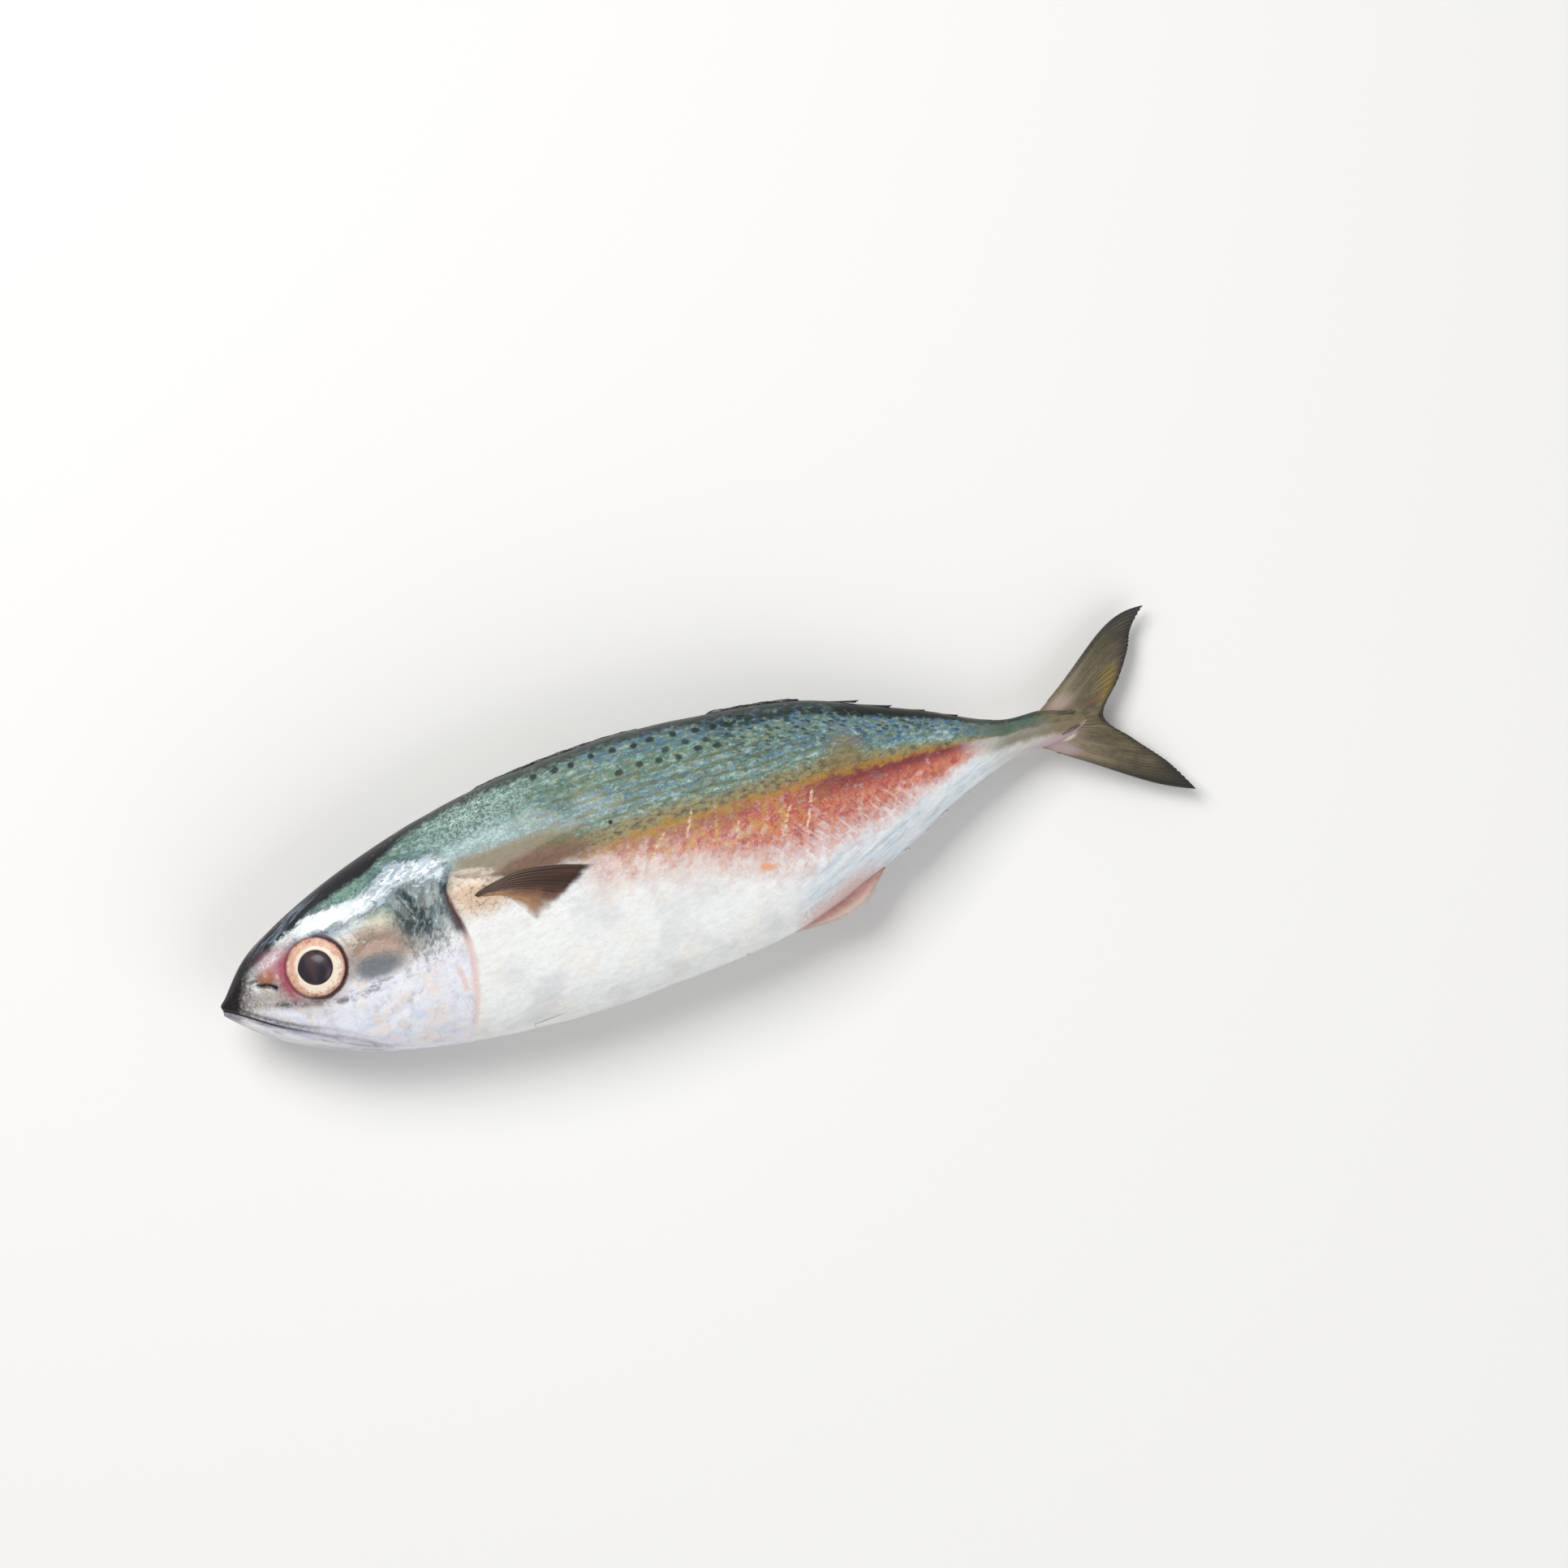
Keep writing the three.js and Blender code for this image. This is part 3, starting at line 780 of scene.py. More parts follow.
def band_finish(f, under):
    """Golden line and brown band, with the back above them."""
    s = f.places()[0]
    h = f.attribute("height")
    wave = (f.noise(0.1, 3, vector=f.stretched(1, 2)) - 0.5) * 0.05
    fray = (f.noise(0.5, 4, 0.7, f.stretched(0.5, 1)) - 0.5) * 0.11
    level = h + wave + fray
    golden = f.ease(level, 0.558, 0.596) * f.ease(s, 106, 124)
    patchy = 0.35 + 0.55 * f.ease(f.noise(0.36, 4, 0.7), 0.4, 0.56)
    colour = f.blend(golden * f.ease(s, 246, 228) * patchy, under, GOLDEN_LINE)
    mottle = f.noise(0.6, 4, 0.7, f.stretched(0.7, 1.2, 1.4))
    tone = f.blend(f.ease(mottle, 0.42, 0.58), BROWN_BAND, OLIVE_LIGHT)
    tone = f.blend(f.ease(mottle, 0.44, 0.34) * 0.8, tone, BROWN_SHADE)
    brown = f.ease(level, 0.596, 0.63)
    colour = f.blend(brown * f.ease(s, 70, 90) * 0.92, colour, tone)
    return f.blend(f.ease(level, 0.645, 0.7), colour, back_finish(f))


# %% [markdown]
# ## Spots and the dark ridge
#
# Three rows of oval spots run along the back, one about every six millimetres. Counting
# off a row is a sum: the place along it is rounded to the nearest spot, and random
# numbers for that spot shift it and resize it. The lower rows begin further back. Towards
# the tail the spots crowd into slanting blue-black marks, which scattered cells make well.

# %% Spots, marks and ridge
SPOT_BLACK = paint(30, 40, 40)
MARK_BLUE = paint(38, 52, 66)
SPOT_PITCH = 6.2
SPOT_ROWS = ((0.94, 111.4, 108, 1.0, 3), (0.9, 114.6, 148, 0.8, 5), (0.862, 110.8, 131, 0.9, 9))


def spot_row(f, level, first, start, strength, seed):
    """A mask of one row of ovals along the back."""
    s = f.places()[0]
    h = f.attribute("height")
    count = f.maths("ROUND", (s - first) / SPOT_PITCH)
    random = f.node("TexWhiteNoise", {"noise_dimensions": "1D"}, {"W": count + seed * 17.3})
    shift = f.node("SeparateXYZ", inputs={0: random.outputs["Color"]})
    jitter, lift, size = (Reading(f, out) for out in shift.outputs)
    ds = s - first - count * SPOT_PITCH + (jitter - 0.5) * 1.6
    dt = (h - level) * 74 + (lift - 0.5) * 1.6
    ragged = (f.noise(0.9, 2) - 0.5) * 0.5
    reach = f.maths("SQRT", ds * ds / (1.1 + size * 1.3) + dt * dt / 1.0)
    inside = f.ease(reach + ragged * 1.4, 1.25, 0.55)
    kept = f.ease(s, start, start + 3) * f.ease(s, 176, 168)
    return inside * kept * strength


def mark_finish(f, under):
    """Spots, and the crowded marks of the rear back."""
    s, t, _ = f.places()
    h = f.attribute("height")
    colour = under
    for row in SPOT_ROWS:
        colour = f.blend(spot_row(f, *row) * 0.92, colour, SPOT_BLACK)
    spread = f.slanted(s, t, -26, 0.34, 0.85)
    marks = f.ease(f.cells(1, spread) + (f.noise(0.9, 4, 0.75) - 0.5) * 0.7, 0.52, 0.2)
    zone = f.ease(s, 154, 178) * f.ease(h, 0.68, 0.88)
    colour = f.blend(marks * zone * 0.8, colour, MARK_BLUE)
    crowd = f.line(h - 0.945, 0.025, 0.8) * f.ease(s, 156, 172) * f.ease(f.noise(0.45, 3), 0.36, 0.52)
    colour = f.blend(crowd * 0.9, colour, SPOT_BLACK)
    dot = f.blob(s, t, (129, 15.8), (0.65, 0.65))
    return f.blend(dot, colour, SPOT_BLACK)


def ridge_finish(f, under):
    """The near-black ridge, wider at the rear."""
    s = f.places()[0]
    h = f.attribute("height")
    ridge = f.ease(h + (f.noise(0.5, 3) - 0.5) * 0.07, 0.945, 0.985)
    rear_ridge = f.ease(h + (f.noise(0.8, 2) - 0.5) * 0.1, 0.9, 0.95) * f.ease(s, 192, 208)
    return f.blend(f.maths("MAXIMUM", ridge * 0.9, rear_ridge * f.ease(s, 262, 246)), under, RIDGE_DARK)


# %% [markdown]
# ## Marks of handling
#
# The catch is scuffed: pale slanting scratches cross the flush, the muscle folds show as
# fine oblique lines at the rear belly, and a few stains sit where the photo has them.
# Small numbers of known marks are listed; fine lines come from a stretched wave.

# %% Scratches, muscle lines and stains
SCRATCH_PALE = paint(226, 208, 178)
MUSCLE_LINE = paint(232, 226, 226)
REAR_BLUE = paint(208, 218, 226)
REAR_STREAK = paint(182, 196, 206)
ROOT_BEIGE = paint(186, 180, 170)
STAIN_BROWN = paint(136, 116, 76)
STAIN_ORANGE = paint(228, 160, 118)
SHOULDER_TAN = paint(205, 178, 152)
# Mauve mottle in the shoulder's skin, and also a painted shadow above the side fin.
MAUVE_MOTTLE_AND_SHADOW = paint(120, 92, 78)
SHOULDER_OLIVE = paint(104, 94, 52)
SHOULDER_BROWN = paint(98, 80, 62)
SHOULDER_GREY = paint(210, 198, 180)
FIN_ROOT_PINK = paint(208, 166, 158)
VENT_GREY = paint(150, 140, 138)
SCRATCHES = (
    ((136, 0), (144, 8.6), 0.7), ((149, 4), (153.5, 12), 0.7), ((175.5, -6), (182, 4), 0.9),
    ((184, -5), (189.5, 6.5), 0.8), ((211, -7), (215, 0), 0.7), ((163, -2), (166, 5), 0.4),
    ((200, -6), (204, 1), 0.35), ((158, 2), (161, 13), 0.3), ((170, -4), (174, 3), 0.35),
)


def streak(f, s, t, start, end, width):
    """A thin mark from one place to another, fading at both ends."""
    ds, dt = end[0] - start[0], end[1] - start[1]
    length = math.hypot(ds, dt)
    along = ((s - start[0]) * ds + (t - start[1]) * dt) / length
    aside = ((t - start[1]) * ds - (s - start[0]) * dt) / length
    bend = (f.noise(0.25, 2) - 0.5) * 1.6
    ends = f.ease(along, -0.5, 1.5) * f.ease(along, length + 0.5, length - 1.5)
    return f.line(aside + bend, width, 0.6) * ends


def handling_finish(f, under):
    s, t, depth = f.places()
    h = f.attribute("height")
    folds = f.noise(1, 4, 0.6, f.slanted(s, t, 126, 0.09, 0.6))
    lines = f.ease(folds, 0.5, 0.66)
    zone = f.ease(s, 158, 180) * f.ease(s, 232, 208) * f.ease(h, 0.08, 0.2) * f.ease(h, 0.5, 0.34)
    zone = zone * (1 - 0.6 * f.ease(h, 0.3, 0.42))
    colour = f.blend(lines * zone * 0.65, under, MUSCLE_LINE)
    hollows = f.ease(folds, 0.46, 0.36)
    colour = f.blend(hollows * zone * 0.5, colour, FLUSH_LILAC)
    rear = f.ease(s, 168, 186) * f.ease(h + (f.noise(0.2, 2) - 0.5) * 0.12, 0.26, 0.16)
    rear = f.maths("MAXIMUM", rear, f.ease(s, 226, 240) * f.ease(h, 0.4, 0.22))
    colour = f.blend(rear * 0.7, colour, REAR_BLUE)
    silver = f.noise(0.6, 4, 0.65, f.slanted(s, t, 20, 0.14, 0.9))
    colour = f.blend(f.ease(silver, 0.5, 0.62) * rear * 0.8, colour, REAR_STREAK)
    colour = f.blend(f.ease(silver, 0.47, 0.36) * rear * 0.6, colour, BELLY_WHITE)
    torn = f.ease(f.noise(0.8, 3, 0.7), 0.4, 0.56)
    for start, end, strength in SCRATCHES:
        colour = f.blend(streak(f, s, t, start, end, 0.42) * strength * torn, colour, SCRATCH_PALE)
    colour = f.blend(f.blob(s, t, (202, 13.5), (6, 5), 0.3, 0.6) * 0.6, colour, STAIN_BROWN)
    beige = f.ease(s, 236, 256) * f.ease(h, 0.6, 0.4)
    colour = f.blend(beige * 0.8, colour, ROOT_BEIGE)
    pink = f.ease(s + torn * 4, 171, 182) * f.ease(s - torn * 4, 203, 190)
    pink = pink * f.ease(h + (torn - 0.5) * 0.03, 0.13, 0.03) * f.ease(f.size(depth) - torn * 3, 10, 3)
    colour = f.blend(pink * 0.75, colour, FIN_ROOT_PINK)
    colour = f.blend(f.blob(s, t, (169.5, -11.8), (2.3, 1.1), -0.3) * 0.8, colour, STAIN_ORANGE)
    vent = f.blob(s, depth, (155.5, 0), (0.9, 4), 0, 0.5) * f.ease(h, 0.07, 0.03)
    return f.blend(vent * 0.7, colour, VENT_GREY)


def shoulder_finish(f, under):
    """The tan, olive and mauve skin round the root of the side fin, with a painted shadow above the fin.
    """
    s, t, _ = f.places()
    fray = (f.noise(0.25, 3) - 0.5) * 5
    behind = f.ease(f.attribute("gill"), 0.2, 1.2)
    over = t - f.maths("MAXIMUM", 43.4 - s * 0.34, 10.4) + fray * 0.25
    grit = f.noise(0.7, 4, 0.75)
    olive = f.ease(over, -0.6, 0.8) * f.ease(t + fray * 0.5, 21.5, 18) * f.ease(s, 77, 84)
    colour = f.blend(olive * f.ease(s, 128, 106) * 0.97, under, SHOULDER_OLIVE)
    colour = f.blend(olive * f.ease(s, 116, 100) * f.ease(grit, 0.48, 0.62) * 0.6, colour, MAUVE_MOTTLE_AND_SHADOW)
    tan = f.blob(s + fray * 0.5, t, (86, 9), (11, 7), 0.0, 0.5) * behind * f.ease(over, 0.6, -0.6)
    colour = f.blend(tan * 0.95, colour, SHOULDER_TAN)
    colour = f.blend(f.ease(grit, 0.5, 0.62) * tan * 0.65, colour, MAUVE_MOTTLE_AND_SHADOW)
    flap = f.blob(s + fray * 0.3, t + fray * 0.2, (86, 12.6), (9, 2.4), -0.32, 0.45) * behind
    colour = f.blend(flap * f.ease(grit, 0.62, 0.46) * 0.85, colour, SHOULDER_GREY)
    brown = f.line(over + 0.3, 0.8, 0.8) * f.ease(s, 79, 83) * f.ease(s, 108, 96)
    colour = f.blend(brown * 0.9, colour, SHOULDER_BROWN)
    # Painted shadow: a mauve band on the flank just above the folded side fin.
    mauve = f.blob(s, t + fray * 0.4, (107, 12), (15, 3.4), -0.1, 0.6)
    return f.blend(mauve * 0.9, colour, MAUVE_MOTTLE_AND_SHADOW)


# %% [markdown]
# ## The head
#
# The head has no scales. Its crown is slate, its snout nearly black, and a silver sheen
# runs over the brow where the skin is clear and full of tiny crystals; the pale sheen is
# partly that silver and partly painted highlight, with painted shade between its streaks.
# The cheek is see-through flesh of beige and blue-grey. Below is the white jaw with thin
# dark lines in its creases, partly its own dark edges and partly painted shade.

# %% Colours of the head
CROWN_SLATE = paint(112, 124, 138)
CROWN_NAVY = paint(22, 22, 30)
NAPE_GREEN = paint(122, 158, 140)
# The brow's silver is the skin's own with a painted highlight on it, and its dark is painted shade.
SILVER_AND_HIGHLIGHT = paint(238, 244, 247)
BROW_GREY = paint(150, 168, 180)
BROW_PAINTED_SHADE = paint(52, 72, 82)
SNOUT_BLACK = paint(20, 16, 18)
SNOUT_GREY = paint(78, 72, 76)
NOSE_ORANGE = paint(160, 102, 70)
NOSE_PINK = paint(200, 150, 158)
MUZZLE_BEIGE = paint(160, 150, 144)
EYE_LILAC = paint(150, 158, 180)
LID_MAROON = paint(44, 16, 24)
LID_CRIMSON = paint(150, 62, 82)
CHEEK_BEIGE = paint(172, 150, 132)
CHEEK_BROWN = paint(112, 98, 84)
CHEEK_BLUE = paint(104, 112, 120)
CHEEK_GREEN = paint(184, 182, 138)
CHEEK_ROSE = paint(190, 158, 146)
CHEEK_GLEAM = paint(196, 206, 206)
TEMPLE_GREY = paint(104, 122, 124)
TEMPLE_DARK = paint(32, 46, 48)
COVER_LILAC = paint(226, 227, 236)
COVER_PEACH = paint(232, 216, 204)
COVER_BLUE = paint(200, 212, 234)
COVER_SHADE = paint(192, 190, 202)
# Dark lines in creases and slits: partly the head's own dark edges, partly painted shade.
DARK_EDGE_AND_CREASE_SHADE = paint(34, 26, 34)
EDGE_MAROON = paint(104, 52, 56)
EDGE_PINK = paint(216, 168, 154)
JAW_LILAC = paint(182, 178, 194)
JAW_GREY = paint(116, 110, 118)


# %% Crown and brow
def crown_finish(f, under):
    """The dark top of the head, the green nape, and the silver brow's painted highlight and shade."""
    s, t, _ = f.places()
    crown, brow = f.attribute("crown"), f.attribute("brow")
    fray = (f.noise(0.4, 4, 0.65) - 0.5) * 2.6
    grain = f.noise(0.9, 4, 0.7)
    foil = f.noise(0.6, 4, 0.65, f.slanted(s, t, 16, 0.5, 1.1), 0.6)
    lilac = f.blob(s, t + fray * 0.3, (30, 10.6), (12, 2.6), 0.05, 0.5)
    colour = f.blend(lilac * 0.85, under, EYE_LILAC)
    # Painted shade: dark slate gaps between the bright streaks of the brow sheen, as in crumpled foil.
    shade = f.ease(brow + fray, 6.5, 3) * f.ease(s, 26, 36) * f.ease(s, 80, 76)
    colour = f.blend(shade * (0.35 + 0.65 * f.ease(foil, 0.6, 0.42)), colour, BROW_PAINTED_SHADE)
    nape = f.blob(s + fray, t + fray * 0.5, (47, 20.4), (9, 2), 0.14, 0.6)
    colour = f.blend(nape * f.ease(grain, 0.38, 0.56) * 0.95, colour, NAPE_GREEN)
    head = f.ease(s + fray * 3, 92, 60)
    above = f.ease(crown + fray, -0.9, 0.9) * head
    streaks = f.noise(0.6, 4, 0.65, f.slanted(s, t, 33, 0.16, 1.1))
    pale = f.ease(streaks, 0.46, 0.6) * f.ease(crown, 0.8, 2) * f.ease(s, 44, 26)
    slate = f.blend(pale * 0.9, CROWN_NAVY, CROWN_SLATE)
    slate = f.blend(f.ease(streaks, 0.54, 0.68) * f.ease(s, 50, 62) * 0.5, slate, NAPE_GREEN)
    colour = f.blend(above, colour, slate)
    # Painted highlight over the silver skin: the pale brow sheen, torn into streaks.
    wide = 1.5 + 1.2 * f.ease(s, 24, 34) + 0.7 * f.ease(s, 52, 62)
    edge = brow + fray * 0.8 + (foil - 0.5) * (6 + 8 * f.ease(s, 46, 58)) - wide
    sheen = f.ease(edge, 0.7, -0.9) * f.ease(s, 18, 25) * f.ease(s, 80, 75)
    tone = f.blend(f.ease(foil, 0.6, 0.44) * f.ease(s, 40, 56) * 0.9, SILVER_AND_HIGHLIGHT, BROW_GREY)
    tone = f.blend(f.ease(grain, 0.6, 0.7) * 0.7, tone, BROW_GREY)
    return f.blend(sheen, colour, tone)


# %% Cheek and temple
def cheek_finish(f, under):
    """The see-through cheek behind the eye and the dark mottled temple."""
    s, t, _ = f.places()
    fray = (f.noise(0.35, 4, 0.6) - 0.5) * 5
    grain = f.noise(0.8, 4, 0.75)
    ahead = f.ease(f.attribute("gill"), 0.6, -0.8)
    beige = f.blob(s + fray, t + fray * 0.6, (52, 2.5), (13, 7.5), 0, 0.45)
    colour = f.blend(beige * 0.92, under, CHEEK_BEIGE)
    muscle = f.blob(s + fray * 0.5, t + fray * 0.4, (50.5, -0.5), (8.5, 6.5), 0.1, 0.35)
    inner = f.blob(s + fray * 0.5, t + fray * 0.4, (50.5, -1.5), (7, 5.2), 0.1, 0.35)
    arc = muscle * (1 - inner) * f.ease(t, -3, 3)
    colour = f.blend(arc * 0.8, colour, CHEEK_BROWN)
    meander = f.noise(0.24, 4, 0.6, f.stretched(0.8, 1.3))
    veins = f.line(meander - 0.5, 0.012, 0.9) * beige
    colour = f.blend(veins * 0.7, colour, CHEEK_BROWN)
    gaps = f.line(meander - 0.56, 0.01, 0.9) * beige
    colour = f.blend(gaps * 0.6, colour, CHEEK_GLEAM)
    rosy = f.blob(s + fray, t + fray * 0.3, (53, 2.6), (8, 2), 0, 0.6)
    colour = f.blend(rosy * 0.6, colour, CHEEK_ROSE)
    blue = f.blob(s + fray * 0.8, t + fray * 0.3, (49, -3), (8, 3.6), 0, 0.5)
    colour = f.blend(blue * 0.9, colour, CHEEK_BLUE)
    green = f.blob(s + fray * 0.8, t + fray * 0.3, (55, 10.5), (8.5, 2.6), -0.1, 0.6)
    colour = f.blend(green * f.ease(grain, 0.38, 0.6) * 0.7, colour, CHEEK_GREEN)
    # Painted highlight: a white fleck of the brow sheen above the cheek.
    white = f.blob(s + fray * 0.6, t, (45.5, 11.2), (4.5, 1.6), 0, 0.6)
    colour = f.blend(white * 0.7, colour, SILVER_AND_HIGHLIGHT)
    temple = f.blob(s + fray * 0.9, t + fray * 0.6, (67, 9.5), (9, 10.5), -0.15, 0.5) * ahead
    colour = f.blend(temple * 0.92, colour, TEMPLE_GREY)
    mottle = f.noise(0.42, 4, 0.75, f.slanted(s, t, 70, 0.7, 1.2), 0.5)
    deep = f.blob(s + fray * 0.5, t, (63, 9.5), (5, 9), -0.1, 0.8)
    colour = f.blend(temple * f.ease(mottle + deep * 0.1, 0.48, 0.62) * 0.9, colour, TEMPLE_DARK)
    colour = f.blend(temple * f.ease(mottle, 0.4, 0.32) * 0.7, colour, CHEEK_GLEAM)
    lower = f.blob(s + fray, t, (66, -3), (9, 5), 0, 0.7) * ahead * f.ease(mottle, 0.46, 0.6)
    colour = f.blend(lower * 0.6, colour, CHEEK_BLUE)
    specks = f.ease(grain, 0.54, 0.66) * f.ease(s, 42, 48)
    specks = specks * f.ease(t, -9, -4) * f.ease(t, 15, 10) * ahead
    colour = f.blend(specks * 0.4, colour, CHEEK_BROWN)
    shade = f.ease(f.noise(0.5, 4, 0.7, f.stretched(0.5, 1.2)), 0.5, 0.62)
    under_line = f.blob(s, t + fray * 0.3, (48, -8.6), (13, 1.8), 0.06, 0.7)
    return f.blend(shade * under_line * 0.6, colour, CHEEK_BLUE)


# %% Gill cover
def cover_finish(f, under):
    """The lilac-white gill cover and jaw, with pink and maroon edges and a dark edge that is painted
    shadow in the slit.
    """
    s, t, _ = f.places()
    gill = f.attribute("gill")
    ahead = f.ease(gill, 0.3, -0.5)
    low = f.ease(t, -1, -8) * ahead
    colour = f.blend(low * 0.85, under, COVER_LILAC)
    peach = f.ease(f.noise(0.15, 4, 0.6), 0.48, 0.6) * low
    colour = f.blend(peach * 0.55, colour, COVER_PEACH)
    blue = f.ease(f.noise(0.17, 4, 0.6, f.stretched(1, 1, 1.9)), 0.5, 0.62) * low
    colour = f.blend(blue * 0.55, colour, COVER_BLUE)
    creases = f.ease(f.noise(0.45, 4, 0.75, f.slanted(s, t, 62, 0.5, 0.8)), 0.5, 0.68) * low
    colour = f.blend(creases * 0.6, colour, COVER_SHADE)
    fray = (f.noise(0.5, 4, 0.7) - 0.5) * 2
    plate = f.line(f.attribute("cheek") + fray, 0.8, 0.9) * low * f.ease(creases, -0.2, 0.8)
    colour = f.blend(plate * 0.4, colour, JAW_LILAC)
    pink = f.line(gill + fray, 1.1, 0.9) * f.ease(t, 2, -5) * f.ease(t, -33, -22)
    colour = f.blend(pink * 0.5, colour, EDGE_PINK)
    branch = f.line(gill + 3.2 + (t + 17) * 0.28 + fray, 0.8, 0.9)
    branch = branch * f.ease(t, -9, -12) * f.ease(t, -20, -17)
    colour = f.blend(branch * 0.5, colour, EDGE_PINK)
    # Painted shadow: a dark line along the upper rear edge of the gill cover, where its slit lies in
    # shade.
    dark = f.ease(gill + fray, -3, -0.9) * f.ease(gill, 1.2, 0.5)
    dark = dark * f.ease(t + fray, -4, 1) * f.ease(t, 19, 15)
    colour = f.blend(dark * 0.92, colour, DARK_EDGE_AND_CREASE_SHADE)
    maroon = f.ease(gill, -0.6, 0.3) * f.ease(gill, 1.6, 0.8)
    maroon = maroon * f.ease(t + fray, -8, 1) * f.ease(t, 12, 8)
    return f.blend(maroon * 0.6, colour, EDGE_MAROON)


# %% Muzzle, jaw and nostrils
def muzzle_finish(f, under):
    """Mouth line, lips, nostrils and the black tip of the snout."""
    s, t, _ = f.places()
    fray = (f.noise(0.6, 4, 0.7) - 0.5) * 1.8
    grain = f.noise(1.1, 4, 0.75)
    mouth, over = f.attribute("mouth"), f.attribute("over_mouth")
    slope = t + s * 0.3
    muzzle = f.ease(s + fray * 2, 33, 21) * f.ease(slope + fray, -2.8, 0.5)
    muzzle = muzzle * f.ease(f.attribute("crown") + fray, 0.5, -1)
    colour = f.blend(muzzle * 0.8, under, MUZZLE_BEIGE)
    colour = f.blend(muzzle * f.ease(grain, 0.5, 0.66) * 0.6, colour, CHEEK_BROWN)
    colour = f.blend(muzzle * f.ease(grain, 0.46, 0.34) * 0.5, colour, COVER_LILAC)
    pink = f.blob(s + fray, t + fray, (19.6, 6.8), (5, 4), 0, 0.6)
    colour = f.blend(pink * 0.75, colour, NOSE_PINK)
    rose = f.blob(s + fray, t, (22.4, 1.5), (3.4, 6.5), 0.05, 0.6)
    colour = f.blend(rose * 0.7, colour, LID_CRIMSON)
    below = f.ease(over, 0.5, -0.7) * f.ease(s, 50, 40)
    colour = f.blend(below * 0.65, colour, JAW_LILAC)
    streaks = f.noise(0.6, 4, 0.6, f.slanted(s, t, -31, 0.12, 0.9))
    colour = f.blend(f.ease(streaks, 0.5, 0.64) * below * 0.75, colour, JAW_GREY)
    colour = f.blend(f.ease(streaks, 0.46, 0.34) * below * 0.8, colour, BELLY_WHITE)
    pale = f.line(over + 2.4 + fray * 0.7, 0.9, 0.8) * f.ease(s, 44, 26)
    colour = f.blend(pale * 0.7, colour, BELLY_WHITE)
    dusk = f.ease(over + fray, 6, 0.6) * f.ease(over, -0.2, 0.3) * f.ease(s, 40, 12)
    colour = f.blend(dusk * (0.4 + 0.5 * f.ease(grain, 0.4, 0.6)), colour, JAW_GREY)
    # Dark lines in the creases of the mouth, the lip and the fold under the eye: partly the jaw's own
    # dark edges, partly painted shade.
    crease = f.line(mouth + fray * 0.3, 0.5, 0.9) * (0.95 - 0.75 * f.ease(s, 10, 32))
    colour = f.blend(crease, colour, DARK_EDGE_AND_CREASE_SHADE)
    lip = f.line(f.attribute("lip") + fray * 0.4, 0.45, 0.9) * f.ease(s, 36, 18)
    colour = f.blend(lip * 0.5, colour, DARK_EDGE_AND_CREASE_SHADE)
    broken = f.ease(f.noise(0.35, 4, 0.7), 0.42, 0.56)
    fold = f.line(f.attribute("under_eye") + fray, 0.9, 0.95) * broken * f.ease(s, 52, 40)
    colour = f.blend(fold * 0.75, colour, DARK_EDGE_AND_CREASE_SHADE)
    orange = f.blob(s + fray, t + fray, (16, 4), (3, 2.4), 0, 0.5)
    colour = f.blend(orange * 0.85, colour, NOSE_ORANGE)
    pearl = f.blob(s + fray, t + fray * 0.4, (17.5, 8.4), (5.5, 1.3), 0.28, 0.7)
    colour = f.blend(pearl * f.ease(grain, 0.42, 0.56) * 0.8, colour, COVER_LILAC)
    # Painted highlight: a small white gleam on the snout by the front nostril.
    gleam = f.blob(s + fray, t - fray, (11.9, 3.2), (1.4, 2.6), 0.2, 0.5) * f.ease(grain, 0.4, 0.54)
    colour = f.blend(gleam * 0.9, colour, SILVER_AND_HIGHLIGHT)
    slit = f.line(f.attribute("nostril") + fray * 0.7, 0.65, 0.8)
    colour = f.blend(slit, colour, SNOUT_BLACK)
    front_slit = f.line(f.attribute("front_nostril") + fray * 0.3, 0.5, 0.6)
    colour = f.blend(front_slit * 0.7, colour, SNOUT_BLACK)
    tip = s - t * 0.45 + fray * 1.4
    dusky = f.ease(tip, 14, 6) * f.ease(over, 0, 0.8) * f.ease(grain, 0.36, 0.56)
    colour = f.blend(dusky * 0.85, colour, SNOUT_GREY)
    snout = f.ease(tip, 8.6, 5.2) * f.ease(over, -0.3, 0.3)
    colour = f.blend(snout * 0.97, colour, SNOUT_BLACK)
    chin = f.ease(s + fray, 6, 2.5) * f.ease(over, 0, -0.5)
    return f.blend(chin * 0.6, colour, JAW_GREY)


# %% Skin round the eye
def lid_finish(f, under):
    """The dark ring of skin round the eye, thick behind and below, crimson in front."""
    s, t, _ = f.places()
    r = f.attribute("eye")
    fray = (f.noise(0.5, 4, 0.65) - 0.5) * 2
    behind = f.ease((s - EYE_CENTRE[0]) * 0.8 - (t - EYE_CENTRE[1]) * 0.6, -6, 5)
    crimson = f.ease(r + fray, 12.2, 9.8) * (1 - behind) * f.ease(t, 13, 8)
    colour = f.blend(crimson * 0.75, under, LID_CRIMSON)
    glow = f.ease(r + fray, 13.4, 11) * behind * f.ease(t, 12, 6)
    colour = f.blend(glow * 0.4, colour, MUZZLE_BEIGE)
    width = 9.3 + behind * 0.7
    ring = f.ease(r + fray * 0.45 - width, 0.7, -0.3)
    colour = f.blend(ring * (0.3 + 0.65 * behind), colour, LID_MAROON)
    rim = f.line(r + fray * 0.3 - 10.9, 0.35, 0.9) * behind * f.ease(fray, -0.1, 0.3)
    return f.blend(rim * 0.6, colour, NOSE_PINK)


